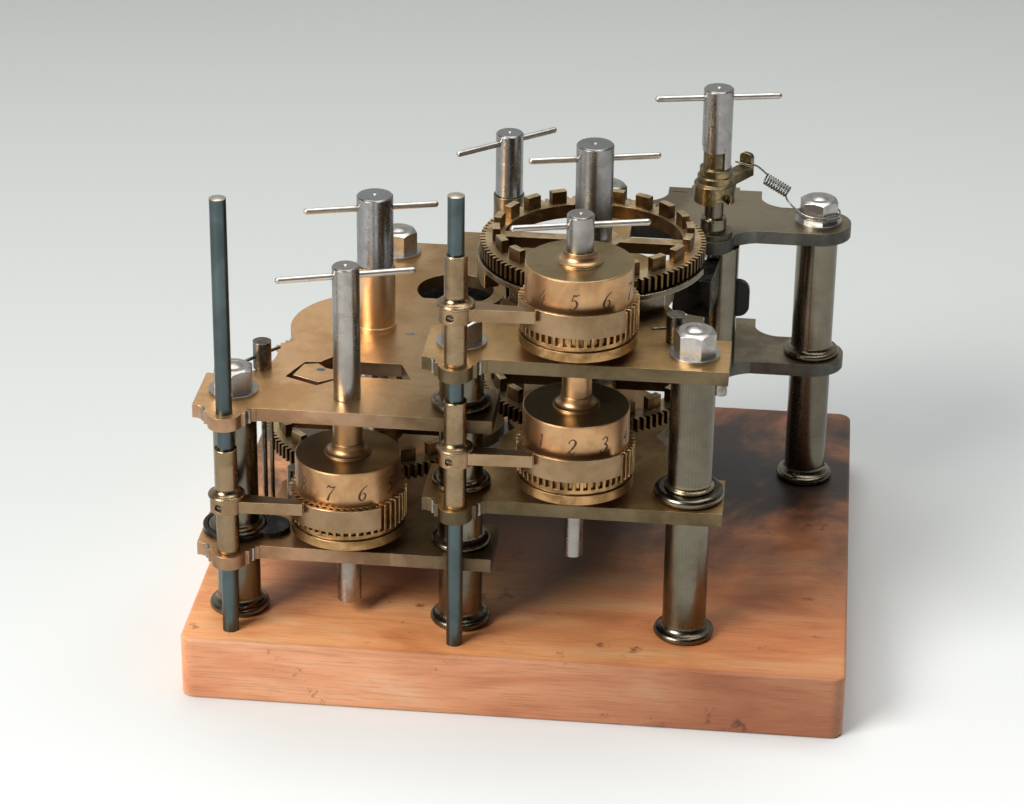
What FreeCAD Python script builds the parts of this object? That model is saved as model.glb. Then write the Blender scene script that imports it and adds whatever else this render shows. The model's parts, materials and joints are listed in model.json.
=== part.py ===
import FreeCAD, Part
import math
import os

os.makedirs("parts", exist_ok=True)

# Difference engine on a wooden board, in millimetres. X runs along the front of the board,
# Y goes to the back and Z is up. The origin is the centre of the board's underside.

# Wooden board
BOARD_WIDTH = 380.0
BOARD_DEPTH = 345.0
BOARD_THICK = 38.4
BOARD_CORNER = 8.0
BOARD_ARRIS = 1.6

# Places of the six columns: a front row of three and a back row set half a bay to the right
BAY = 129.3
ROW_SPACING = 208.9
LEFT_X = -162.3
FRONT_Y = -128.5

# Levels of the plates
PLATE = 8.0
LOWER_LEVEL = 89.5
CELL_HEIGHT = 87.2
CELL_STEP = 37.6
REAR_DROP = 2.8

# Columns, studs, washers and nuts
COLUMN_R = 12.5
FOOT_RIM_R = 17.35
FOOT_RIM = 5.0
FOOT_FLARE = 10.0
BASE_RIM_R = 17.0
BASE_RIM = 4.0
BASE_FLARE = 7.0
STUD_R = 5.5
STUD_DEPTH = 28.0
STUD_DOME = 1.5
WASHER_R = 14.2
WASHER = 2.0
NUT_CORNER_R = 12.0
NUT = 13.8
NUT_CHAMFER = 1.8
SEAT_R = 20.0
SEAT = 6.2
SEAT_FOOT_R = 14.2
SEAT_FOOT_RIM = 2.0
SEAT_FOOT_FLARE = 5.0

# Clearances
STUD_GAP = 0.3
FIT = 0.05
RUNNING = 0.3
LAP_GAP = 0.3
LOOSE = 0.6

# Plan of the front plates, measured from the middle of the front bar
GEAR_CENTRES = 97.0
BAR_HALF = 84.3
BAR_WIDTH = 42.0
DISC_R = 48.0
NECK_FOOT = 66.4
NECK_WAIST = 49.4
NECK_WAIST_Y = 58.5
NECK_TOP = 41.6
NECK_TOP_Y = 73.0
TAIL_HALF = 17.0
EYE_R = 19.5
EAR_X = 42.3
EAR_Y = 156.4
EAR_R = 30.5
EAR_HOLE_R = 23.2
EAR_FLAT_Y = 141.5
EAR_START_X = 8.5
EAR_BACK_Y = 225.4
EAR_STEP_X = 36.5
EAR_STEP_Y = 239.5
EAR_END_X = 55.0
EAR_END_Y = 206.5
EAR_SIDE_X = 66.4
EAR_SIDE_Y = 187.0
LUG_OUT = 28.5
LUG_R = 9.6
SCALLOP_X = 16.5
SCALLOP_Y = 26.8
SCALLOP_R = 5.0
PIN_R = 1.2

# Plan of the rear plates, measured from the middle of their bar
REAR_HALF = 20.0
BACK_FOOT = 48.0
BACK_WAIST = 29.0
BACK_WAIST_Y = 33.0
BACK_STEP_Y = 45.0
BACK_TOP = 15.0
BACK_TOP_Y = 49.5
REAR_LUG_X = 1.7
REAR_LUG_Y = -29.4
REAR_LUG_R = 12.7
REAR_LUG_BOSS = 3.7
SLOT_LENGTH = 9.3
SLOT_WIDTH = 1.6

# Figure wheels, heights above the plate that carries them
WHEEL_TEETH = 48
RING_TEETH = 96
ADDENDUM = 1.1
RING_ADDENDUM = 0.55
DEDENDUM = 1.9
ROOT_SHARE = 0.58
TIP_SHARE = 0.34
WHEEL_BOSS_R = 14.0
WHEEL_BOSS = 6.7
WHEEL_RIM_R = 33.15
WHEEL_RIM_TOP = 12.2
WHEEL_GROOVE_R = 31.2
WHEEL_GROOVE = 0.8
WHEEL_PLAIN_R = 32.2
WHEEL_PLAIN_TOP = 15.3
WHEEL_TEETH_TOP = 32.0
DRUM_R = 30.0
DRUM_TOP = 53.05
DRUM_WALL = 5.0
COLLAR_R = 13.1
COLLAR_NECK_R = 9.2
COLLAR_TOP = 60.0
HUB_R = 8.4

# Ring gears, heights above the plate below them
RING_BORE_R = 52.0
RING_BOTTOM = 17.6
RING_TOP = 25.8
RING_BLOCKS = 20
BLOCK_SPAN = 9.6
BLOCK_PHASE = 134.4
BLOCK_IN_R = 54.0
BLOCK_OUT_R = 58.4
BLOCK_HIGH = 8.0
SPOKES = 4
SPOKE_WIDTH = 8.0
SPOKE_THICK = 6.5
RING_HUB_R = 16.0
RING_BOSS_R = 13.0

# Curved rest under the upper ring gear
RAIL_FOOT_IN = 50.0
RAIL_FOOT_OUT = 58.0
RAIL_EDGE_R = 66.9
RAIL_STEP = 13.7
RAIL_TOP = 17.0
RAIL_START = -192.0
RAIL_END = -14.0
RAIL_WALL_END = -153.0
RAIL_WALL_BOTTOM = 4.0
RAIL_FOOT_START = -140.0
RAIL_FOOT_END = -40.0

# Spindles: grip radius and top level, thinner arbor below
ARBOR_R = 7.0
SPINDLE_A_R = 7.7
SPINDLE_A_TOP = 257.0
ARBOR_A_END = 47.8
SPINDLE_U_TOP = 294.9
SPINDLE_U_R = 7.6
ARBOR_U_R = 5.0
ARBOR_MEET = 210.2
ARBOR_L_R = 5.4
ARBOR_L_END = 85.7
AXIS_2_SHIFT = 2.2
SPINDLE_2_R = 10.7
SPINDLE_2_TOP = 260.2
ARBOR_2_END = 78.0
TUBE_2_R = 11.6
TUBE_2_RING_R = 12.3
TUBE_2_RING = 3.0
TUBE_2_TOP = 217.0
SPINDLE_3_X = -29.0
SPINDLE_3_Y = 82.0
SPINDLE_3_R = 8.4
SPINDLE_3_TOP = 259.2
ARBOR_3_R = 6.0
ARBOR_3_END = 74.0
TUBE_3_R = 9.5
TUBE_3_TOP = 219.0
TUBE_3_HOLE_Z = 213.8
SPINDLE_4_R = 10.8
SPINDLE_4_TOP = 298.3
ARBOR_4_END = 110.0
SPINDLE_6_R = 8.9
SPINDLE_6_CUT = 269.7
SPINDLE_6_GRIP = 35.8
SPINDLE_6_STEP_R = 8.4
SKIRT_TURNS = (-52.0, 120.0)
ARBOR_6_R = 4.0
GRIP_CHAMFER = 0.8
DIMPLE_R = 1.6
DIMPLE = 1.2
SCREW_HOLE_R = 2.0

# Cross bars of the spindles: height below the top of the grip, length and turn from X
BAR_R = 1.85
BAR_A = (6.0, 79.0, 18.6)
BAR_2 = (8.0, 79.0, 16.6)
BAR_3 = (5.8, 75.0, 42.2)
BAR_3_SLIDE = -2.0
BAR_4 = (8.9, 77.0, 14.8)
BAR_U = (6.9, 77.7, 15.0)
BAR_6 = (6.0, 76.0, 12.4)

# Index rods, their tubes, arms and figure bands, heights above the plate
ROD_R = 4.65
ROD_LEFT_TOP = 305.7
ROD_MIDDLE_TOP = 314.2
ROD_DOME = 0.8
TUBE_R = 6.4
TUBE_TOP = 65.2
TORUS_R = 10.6
TORUS_TOP = 42.5
ARM_HUB_R = 9.5
ARM_HUB_BOTTOM = 26.7
ARM_BOTTOM = 28.2
ARM_TOP = 35.2
ARM_ROOT_HALF = 5.5
ARM_REACH = 43.5
ARM_END_FRONT = -4.0
ARM_END_BACK = 1.8
BAND_IN_R = 33.9
BAND_OUT_R = 35.7
BAND_BOTTOM = 21.8
ARM_A_DROP = 1.1
BAND_A_DROP = 2.6
GRUB_R = 2.4
GRUB_INSET = 1.2
GRUB_SLOT = 0.7
BAND_A = (-59.0, 40.0)
BAND_RIGHT = (-62.0, 50.0)
GRUB_TURN_A = -21.6
GRUB_TURN_U = -13.6
GRUB_TURN_L = -16.0

# Latch block let into the left upper plate and the cut-out beside it
LATCH_FLANGE = 3.0
LATCH_EDGE = 4.0

# Toothed strip under the left edge of the upper plate, its ends and how far it reaches in
EDGE_RACK = 3.0
EDGE_RACK_START = (-153.3, -49.8)
EDGE_RACK_END = (-140.6, -29.6)
EDGE_RACK_REACH = 20.0
EDGE_RACK_TEETH = 6
EDGE_RACK_TOOTH = 1.8
SCREW_HEAD_R = 2.6

# Lock posts, guide posts and corner bolt
POST_R = 5.3
POST_HEIGHT = 16.8
POST_SHANK_R = 1.5
POST_A = (-151.5, -96.5)
POST_A_PIN = (28.4, 52.7)
POST_B = (84.5, -112.0)
POST_B_PIN = (27.0, 15.0)
POST_B_SHANK = 24.0
POST_PIN_R = 0.95
GUIDE_X = -147.2
GUIDE_R = 1.3
STOP_X = -134.0
STOP_Y = -96.0
STOP_R = 4.6
STOP_HEIGHT = 24.0
BOLT_X = 112.0
BOLT_Y = -145.0
BOLT_R = 3.3
BOLT_HEAD = 7.0
STOP_PLATE = 3.2
STOP_PLATE_R = 19.8
STOP_DISC_X = 19.5
STOP_DISC_R = 11.0

# Post between the rear plates on the right and its flag
POST_COLUMN_X = 104.2
POST_COLUMN_Y = 55.0
POST_COLUMN_R = 10.1
FLAG_BOTTOM = 157.8
FLAG_TOP = 181.2
FLAG_REACH = 17.6
FLAG_THICK = 4.0
FLAG_CORNER = 7.0
CAM_REACH = 47.0
CAM_FROM = -126.0
CAM_TO = -96.0
CAM_BOTTOM = 176.0
CAM_TOP = 199.0

# Blackened guard plates that hang from the middle rear plates behind the windows
GUARD_X = -59.0
GUARD_Y = 52.0
GUARD_R = 26.5
GUARD_DROP = 4.0
GUARD_THICK = 4.0
GUARD_STUD_Y = 67.0
GUARD_STUD_R = 5.0
GUARD_SHANK_R = 2.5

# Spring lever on the sixth spindle, absolute levels
STACK_COLLAR_R = 7.8
STACK_COLLAR_TOP = 223.6
STACK_DRUM_R = 5.7
LEVER_BOTTOM = 234.6
LEVER_FOOT_R = 12.6
LEVER_FOOT_TOP = 246.6
LEVER_BODY_R = 10.8
LEVER_BODY_TOP = 250.6
LEVER_RING_R = 9.6
LEVER_RING_TOP = 255.7
LEVER_NECK_R = 7.6
LEVER_NECK_TOP = 266.3
LEVER_TURN = 58.0
LEVER_WIDTH = 8.6
LEVER_ARM_BOTTOM = 240.4
LEVER_ARM_TOP = 246.6
LEVER_REACH = 35.0
LEVER_TAB = 3.0
LEVER_TAB_RISE = 8.0
LEVER_TAB_CORNER = 3.0
LEVER_NOTCH_R = 4.6
LEVER_NOTCH_UP = 3.0
LEVER_NOTCH_TURN = -60.0

# Carry parts between the plates
CARRY_X = -98.65
CARRY_Y = -107.0
CARRY_TOP = 164.0
CARRY_THICK = 4.0
CARRY_R = 52.1
CARRY_TEETH = 72
CARRY_FROM = 138.0
CARRY_TO = 158.0
CARRY_HUB_R = 7.0
CARRY_STUD_R = 2.5
CARRY_STUD_HEAD_R = 4.5
CARRY_STUD_HEAD = 2.0
FINGER_REACH = 38.0
FINGER_WIDTH = 12.0
FINGER_HUB_R = 11.0
FINGER_THICK = 5.0
FINGER_LEVELS = 3
FINGER_TURN = 40.0

# Coil spring from the lever to the right rear column
WIRE_R = 0.55
COIL_R = 3.2
COIL_TURNS = 9
COIL_PITCH = 1.75
COIL_SLOPE = 30.0
COIL_X = 127.2
COIL_Z = 238.2
HOOK_SLACK = 1.8
HOOK_RISE = 1.7
HOOK_TURN = 2.4
LOOP_GAP = 0.2
LOOP_HIGH = 7.5
LOOP_PITCH = 1.9
LOOP_QUARTERS = 5
TAIL_LENGTH = 4.0

# Places and levels that follow from the sizes above
BACK_Y = FRONT_Y + ROW_SPACING
CELL_A_X = LEFT_X + BAY / 2
CENTRE_X = LEFT_X + BAY
CELL_B_X = CELL_A_X + BAY
RIGHT_X = CENTRE_X + BAY
REAR_D_X = CENTRE_X
REAR_C_X = RIGHT_X
BACK_LEFT_X = CELL_A_X
BACK_MIDDLE_X = CELL_B_X
BACK_RIGHT_X = CELL_B_X + BAY
GEAR_Y = FRONT_Y + GEAR_CENTRES
AXIS_2_X = CELL_A_X + AXIS_2_SHIFT
LEAN_A = math.degrees(math.atan2(AXIS_2_SHIFT, GEAR_CENTRES))
ROD_Y = FRONT_Y - LUG_OUT
LAP = (PLATE + REAR_DROP) / 2
A_LOWER = LOWER_LEVEL
A_UPPER = LOWER_LEVEL + CELL_HEIGHT
B_LOWER = A_LOWER + CELL_STEP
B_UPPER = A_UPPER + CELL_STEP
D_LOWER = A_LOWER - REAR_DROP
D_UPPER = A_UPPER - REAR_DROP
C_LOWER = B_LOWER - REAR_DROP
C_UPPER = B_UPPER - REAR_DROP
WHEEL_PITCH_R = GEAR_CENTRES * WHEEL_TEETH / (WHEEL_TEETH + RING_TEETH)
RING_PITCH_R = GEAR_CENTRES - WHEEL_PITCH_R
LUG_AXIS_X = REAR_C_X + REAR_LUG_X
LUG_AXIS_Y = BACK_Y + REAR_LUG_Y
SPINDLE_6_TOP = SPINDLE_6_CUT + SPINDLE_6_GRIP
OVER = 1.0


def vec(x, y, z):
    return FreeCAD.Vector(x, y, z)


def spot(x, y, radius, degrees):
    """Point at a radius and a plan angle round (x, y)."""
    angle = math.radians(degrees)
    return (x + radius * math.cos(angle), y + radius * math.sin(angle))


def rod(x, y, bottom, top, radius):
    return Part.makeCylinder(radius, top - bottom, vec(x, y, bottom))


def block(x1, x2, y1, y2, z1, z2):
    return Part.makeBox(x2 - x1, y2 - y1, z2 - z1, vec(x1, y1, z1))


def outline_wire(steps, place):
    """Closed wire through the steps: a point is a straight run, a pair is an arc through and to."""
    edges = []
    here = steps[0]
    for step in steps[1:] + steps[:1]:
        if isinstance(step[0], tuple):
            through, end = step
            edges.append(Part.Arc(place(*here), place(*through), place(*end)).toShape())
        elif math.dist(here, step) > FIT / 10:
            end = step
            edges.append(Part.makeLine(place(*here), place(*end)))
        here = end
    return Part.Wire(edges)


def slab(steps, x, y, bottom, top):
    """Flat piece with a plan outline drawn about (x, y)."""
    wire = outline_wire(steps, lambda a, b: vec(x + a, y + b, bottom))
    return Part.Face(wire).extrude(vec(0, 0, top - bottom))


def turned(steps, x, y):
    """Piece turned about the vertical through (x, y) from a half section of radius and height."""
    wire = outline_wire(steps, lambda r, z: vec(x + r, y, z))
    return Part.Face(wire).revolve(vec(x, y, 0), vec(0, 0, 1), 360)


def join(first, *others):
    return first.fuse(list(others)).removeSplitter()


def hollow(corner, start, end):
    """Quarter-round hollow between two points that bends in towards the corner."""
    middle = ((start[0] + end[0]) / 2, (start[1] + end[1]) / 2)
    depth = 2 - math.sqrt(2)
    through = tuple(c + (m - c) * depth for c, m in zip(corner, middle))
    return (through, end)


def dome(radius, level, height):
    """Arc step that closes a turned piece with a dome, from its edge to the axis."""
    ball = (radius * radius + height * height) / (2 * height)
    lean = math.asin(radius / ball) / 2
    centre = level + height - ball
    return ((ball * math.sin(lean), centre + ball * math.cos(lean)), (0, level + height))


def sector(inner, outer, start, end):
    """Plan outline of a ring sector between two angles."""
    middle = (start + end) / 2
    return [
        spot(0, 0, inner, start),
        spot(0, 0, outer, start),
        (spot(0, 0, outer, middle), spot(0, 0, outer, end)),
        spot(0, 0, inner, end),
        (spot(0, 0, inner, middle), spot(0, 0, inner, start)),
    ]


def gear_steps(teeth, tip, root, first, count):
    """Points round the teeth of a gear, the first tooth centred at the angle first."""
    pitch = 360.0 / teeth
    flanks = ((root, -ROOT_SHARE), (tip, -TIP_SHARE), (tip, TIP_SHARE), (root, ROOT_SHARE))
    steps = []
    for number in range(count):
        for radius, share in flanks:
            steps.append(spot(0, 0, radius, first + (number + share / 2) * pitch))
    return steps


def cross_bar(x, y, z, length, turn, radius):
    """Straight bar with round ends lying across a spindle."""
    half = length / 2
    slope = radius * math.sqrt(0.5)
    end = half - radius
    steps = [
        (0, -half),
        ((slope, -end - slope), (radius, -end)),
        (radius, end),
        ((slope, end + slope), (0, half)),
    ]
    bar = turned(steps, 0, 0)
    bar.rotate(vec(0, 0, 0), vec(0, 1, 0), 90)
    bar.rotate(vec(0, 0, 0), vec(0, 0, 1), turn)
    bar.translate(vec(x, y, z))
    return bar


def across(x, y, z, length, turn, radius):
    """Round hole cutter lying level across a spindle."""
    start = spot(x, y, -length / 2, turn)
    direction = vec(*spot(0, 0, 1, turn), 0)
    return Part.makeCylinder(radius, length, vec(start[0], start[1], z), direction)


def save(name, *solids):
    shape = solids[0] if len(solids) == 1 else Part.makeCompound(list(solids))
    shape.exportStep("parts/%s.step" % name)


# Board: one plank with rounded upright corners and worn edges
def level_edges(shape, level):
    """Edges that lie at one level."""
    return [e for e in shape.Edges if all(abs(v.Z - level) < FIT for v in e.Vertexes)]


def base_board():
    board = block(-BOARD_WIDTH / 2, BOARD_WIDTH / 2, -BOARD_DEPTH / 2, BOARD_DEPTH / 2, 0, BOARD_THICK)
    upright = [e for e in board.Edges if e.BoundBox.ZLength > BOARD_THICK / 2]
    board = board.makeFillet(BOARD_CORNER, upright)
    board = board.makeFillet(BOARD_ARRIS, level_edges(board, BOARD_THICK) + level_edges(board, 0))
    for x, y, level in STUDS:
        board = board.cut(rod(x, y, BOARD_THICK - STUD_DEPTH, BOARD_THICK + OVER, STUD_R + FIT))
    return board


# Columns: each stud runs from the board up to a nut on the plate at the given level
STUDS = [
    (LEFT_X, FRONT_Y, A_UPPER),
    (CENTRE_X, FRONT_Y, B_UPPER),
    (RIGHT_X, FRONT_Y, B_UPPER),
    (BACK_LEFT_X, BACK_Y, A_UPPER),
    (BACK_MIDDLE_X, BACK_Y, B_UPPER),
    (BACK_RIGHT_X, BACK_Y, C_UPPER),
]
FOOT_PLATES = [A_LOWER, A_LOWER, B_LOWER, D_LOWER, D_LOWER, C_LOWER]
NUT_TURNS = [-83.0, -72.0, -70.5, -65.0, -60.0, -77.4]
COLUMN_LENGTHS = [
    (LEFT_X, FRONT_Y, A_LOWER, A_UPPER),
    (CENTRE_X, FRONT_Y, A_LOWER, B_LOWER),
    (CENTRE_X, FRONT_Y, B_LOWER, A_UPPER),
    (CENTRE_X, FRONT_Y, A_UPPER, B_UPPER),
    (BACK_LEFT_X, BACK_Y, A_LOWER, D_UPPER),
    (BACK_MIDDLE_X, BACK_Y, D_LOWER, C_LOWER),
    (BACK_MIDDLE_X, BACK_Y, B_LOWER, D_UPPER),
    (BACK_MIDDLE_X, BACK_Y, D_UPPER, C_UPPER),
    (BACK_RIGHT_X, BACK_Y, C_LOWER, C_UPPER),
]


def column(x, y, bottom, top, rim_r, rim, flare):
    """Turned column length with a rounded rim at its foot and a hollow flare above the rim."""
    edge = rim / 2
    bore = STUD_R + STUD_GAP
    steps = [
        (bore, bottom),
        (rim_r - edge, bottom),
        ((rim_r, bottom + edge), (rim_r - edge, bottom + rim)),
        hollow((COLUMN_R, bottom + rim), (rim_r - edge, bottom + rim), (COLUMN_R, bottom + flare)),
        (COLUMN_R, top),
        (bore, top),
    ]
    return turned(steps, x, y)


def stud(x, y, level):
    shoulder = level + WASHER + NUT
    steps = [
        (0, BOARD_THICK - STUD_DEPTH),
        (STUD_R, BOARD_THICK - STUD_DEPTH),
        (STUD_R, shoulder),
        dome(STUD_R, shoulder, STUD_DOME),
    ]
    return turned(steps, x, y)


def washer(x, y, level):
    return rod(x, y, level, level + WASHER, WASHER_R).cut(rod(x, y, level, level + WASHER, STUD_R + FIT))


def nut(x, y, level, turn):
    bottom = level + WASHER
    top = bottom + NUT
    corners = [spot(0, 0, NUT_CORNER_R, turn + 60 * side) for side in range(6)]
    bore = STUD_R + FIT
    section = [
        (bore, bottom),
        (NUT_CORNER_R, bottom),
        (NUT_CORNER_R, top - NUT_CHAMFER),
        (NUT_CORNER_R - NUT_CHAMFER * 1.7, top),
        (bore, top),
    ]
    return slab(corners, x, y, bottom, top).common(turned(section, x, y))


def seat_disc():
    """Round seat under the middle length of the right front column."""
    edge = SEAT / 2
    bore = STUD_R + STUD_GAP
    section = [
        (bore, B_LOWER),
        (SEAT_R - edge, B_LOWER),
        ((SEAT_R, B_LOWER + edge), (SEAT_R - edge, B_LOWER + SEAT)),
        (bore, B_LOWER + SEAT),
    ]
    return turned(section, RIGHT_X, FRONT_Y)


# Front plates: bar, neck, gear disc and tail in one, with a lug for the index rod
def lug_pins(x, top):
    """Two small pins half let into the scallops beside the rod lug."""
    lug_x = x - BAY / 2
    reach = SCALLOP_R * math.sqrt(0.5)
    y = FRONT_Y - SCALLOP_Y + reach
    return [rod(lug_x + side * (SCALLOP_X - reach), y, top - PLATE, top, PIN_R) for side in (-1, 1)]


def front_plate(x, top):
    bottom = top - PLATE
    half = BAR_WIDTH / 2
    lug_x = x - BAY / 2
    plate = block(x - BAR_HALF, x + BAR_HALF, FRONT_Y - half, FRONT_Y + half, bottom, top)
    neck = [
        (-NECK_FOOT, half),
        (NECK_FOOT, half),
        hollow((NECK_WAIST, half), (NECK_FOOT, half), (NECK_WAIST, NECK_WAIST_Y)),
        (NECK_TOP, NECK_TOP_Y),
        (-NECK_TOP, NECK_TOP_Y),
        (-NECK_WAIST, NECK_WAIST_Y),
        hollow((-NECK_WAIST, half), (-NECK_WAIST, NECK_WAIST_Y), (-NECK_FOOT, half)),
    ]
    web = block(lug_x - SCALLOP_X, lug_x + SCALLOP_X, ROD_Y, FRONT_Y - half + OVER, bottom, top)
    for side in (-1, 1):
        web = web.cut(rod(lug_x + side * SCALLOP_X, FRONT_Y - SCALLOP_Y, bottom, top, SCALLOP_R))
    plate = join(
        plate,
        slab(neck, x, FRONT_Y, bottom, top),
        rod(x, GEAR_Y, bottom, top, DISC_R),
        block(x - TAIL_HALF, x + TAIL_HALF, GEAR_Y, BACK_Y, bottom, top),
        rod(x, BACK_Y, bottom, top, EYE_R),
        web,
        rod(lug_x, ROD_Y, bottom, top, LUG_R),
    )
    lap_y = BACK_Y - REAR_HALF - LAP_GAP
    plate = plate.cut(block(x - EYE_R, x + EYE_R, lap_y, BACK_Y + EYE_R, bottom, top - LAP))
    for stud_x, stud_y in ((x - BAY / 2, FRONT_Y), (x + BAY / 2, FRONT_Y), (x, BACK_Y)):
        plate = plate.cut(rod(stud_x, stud_y, bottom, top, STUD_R + STUD_GAP))
    plate = plate.cut(rod(lug_x, ROD_Y, bottom, top, ROD_R + FIT))
    for pin in lug_pins(x, top):
        plate = plate.cut(pin)
    return plate


def ear_back(gap):
    """Plan of the wide end behind the ear that lies over the rear plate, grown by a gap."""
    return [
        (EAR_START_X, EAR_Y),
        (EAR_START_X, EAR_BACK_Y + gap),
        (EAR_STEP_X - gap, EAR_BACK_Y + gap),
        (EAR_STEP_X - gap, EAR_STEP_Y + gap),
        (EAR_END_X + gap, EAR_STEP_Y + gap),
        (EAR_END_X + gap, EAR_END_Y),
        (EAR_SIDE_X + gap, EAR_SIDE_Y),
        (EAR_SIDE_X, EAR_Y),
    ]


def ear(x, top):
    """Ear on the right of the left cell's plates, with a half-moon window in it."""
    bottom = top - PLATE
    window = rod(x + EAR_X, FRONT_Y + EAR_Y, bottom, top, EAR_HOLE_R)
    front = block(
        x + EAR_X - EAR_R, x + EAR_X + EAR_R,
        FRONT_Y + EAR_Y - EAR_R, FRONT_Y + EAR_FLAT_Y, bottom, top,
    )
    disc = rod(x + EAR_X, FRONT_Y + EAR_Y, bottom, top, EAR_R)
    return join(disc, slab(ear_back(0), x, FRONT_Y, top - LAP, top)), window.cut(front)


# Latch block in the left upper plate, and the cut-out that it sits in
LATCH_CUT = [(-39, 22), (-19.5, 12.5), (-9, 22), (-9, 26.5), (32.6, 26.5), (24.5, 46.5), (-8, 46.5),
             (-8, 51), (-15, 53.5), (-22, 44), (-31, 43)]
LATCH_TOP = [(-35, 24.5), (-19, 17), (-9.8, 23.5), (-9.8, 33), (-18, 36), (-23, 41.5), (-31, 39.6)]
LATCH_SCREW = (-20.3, 33.6)
DISC_SCREW = (23.7, 88.6)


def latch_block():
    low = min(x for x, y in LATCH_CUT) - LATCH_EDGE
    right = max(x for x, y in LATCH_TOP)
    front = min(y for x, y in LATCH_CUT) - LATCH_EDGE
    back = max(y for x, y in LATCH_TOP)
    bottom = A_UPPER - PLATE
    flange = block(
        CELL_A_X + low, CELL_A_X + right,
        FRONT_Y + front, FRONT_Y + back, bottom - LATCH_FLANGE, bottom,
    )
    latch = join(slab(LATCH_TOP, CELL_A_X, FRONT_Y, bottom, A_UPPER), flange)
    return latch.cut(flush_hole(*LATCH_SCREW))


def edge_rack():
    """Short toothed strip fixed under the plate, its teeth out beyond the plate's waist."""
    run = EDGE_RACK_END[0] - EDGE_RACK_START[0]
    rise = EDGE_RACK_END[1] - EDGE_RACK_START[1]
    length = math.hypot(run, rise)
    along = unit(vec(run, rise, 0))
    inward = vec(along.y, -along.x, 0)
    start = vec(*EDGE_RACK_START, 0)
    pitch = length / EDGE_RACK_TEETH
    steps = []
    for tooth in range(EDGE_RACK_TEETH):
        root = start + along * (tooth * pitch) + inward * EDGE_RACK_TOOTH
        tip = start + along * ((tooth + 0.5) * pitch)
        steps.append((root.x, root.y))
        steps.append((tip.x, tip.y))
    for corner in (start + along * length, start):
        inside = corner + inward * EDGE_RACK_REACH
        steps.append((inside.x, inside.y))
    bottom = A_UPPER - PLATE - EDGE_RACK
    return slab(steps, 0, 0, bottom, A_UPPER - PLATE)


def flush_hole(x, y):
    return rod(CELL_A_X + x, FRONT_Y + y, A_UPPER - PLATE / 2, A_UPPER, SCREW_HEAD_R + FIT)


def flush_screw(x, y):
    """Screw head let in flush with the plate, with a driver slot."""
    x = CELL_A_X + x
    y = FRONT_Y + y
    head = rod(x, y, A_UPPER - PLATE / 2, A_UPPER, SCREW_HEAD_R)
    half = GRUB_SLOT / 2
    return head.cut(block(x - SCREW_HEAD_R, x + SCREW_HEAD_R, y - half, y + half, A_UPPER - OVER, A_UPPER))


def axle_hole(plate, x, y, top, radius):
    return plate.cut(rod(x, y, top - PLATE, top, radius + FIT))


def carry_stud():
    """Shouldered stud that hangs from the left upper plate and carries the toothed sector."""
    bottom = CARRY_TOP - CARRY_THICK - RUNNING
    shank = rod(CARRY_X, CARRY_Y, bottom, A_UPPER - PLATE / 2, CARRY_STUD_R)
    return join(shank, rod(CARRY_X, CARRY_Y, bottom - CARRY_STUD_HEAD, bottom, CARRY_STUD_HEAD_R))


def plate_a_lower():
    added, window = ear(CELL_A_X, A_LOWER)
    plate = join(front_plate(CELL_A_X, A_LOWER), added).cut(window)
    plate = axle_hole(plate, CELL_A_X, FRONT_Y, A_LOWER, ARBOR_R)
    return axle_hole(plate, AXIS_2_X, GEAR_Y, A_LOWER, ARBOR_R)


def plate_a_upper():
    added, window = ear(CELL_A_X, A_UPPER)
    plate = join(front_plate(CELL_A_X, A_UPPER), added).cut(window)
    plate = axle_hole(plate, CELL_A_X, FRONT_Y, A_UPPER, ARBOR_R)
    plate = axle_hole(plate, AXIS_2_X, GEAR_Y, A_UPPER, ARBOR_R)
    plate = axle_hole(plate, *POST_A, A_UPPER, POST_SHANK_R)
    plate = plate.cut(slab(LATCH_CUT, CELL_A_X, FRONT_Y, A_UPPER - PLATE, A_UPPER))
    plate = plate.cut(rod(CARRY_X, CARRY_Y, A_UPPER - PLATE, A_UPPER - PLATE / 2, CARRY_STUD_R + FIT))
    return plate.cut(flush_hole(*DISC_SCREW))


def plate_b_lower():
    plate = axle_hole(front_plate(CELL_B_X, B_LOWER), CELL_B_X, FRONT_Y, B_LOWER, ARBOR_L_R)
    return axle_hole(plate, CELL_B_X, GEAR_Y, B_LOWER, ARBOR_R)


def plate_b_upper():
    plate = axle_hole(front_plate(CELL_B_X, B_UPPER), CELL_B_X, FRONT_Y, B_UPPER, ARBOR_L_R)
    plate = axle_hole(plate, CELL_B_X, GEAR_Y, B_UPPER, ARBOR_R)
    plate = axle_hole(plate, *POST_B, B_UPPER, POST_SHANK_R)
    return plate.cut(rod(BOLT_X, BOLT_Y, B_UPPER - PLATE, B_UPPER - PLATE / 2, BOLT_R / 2 + FIT))


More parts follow.
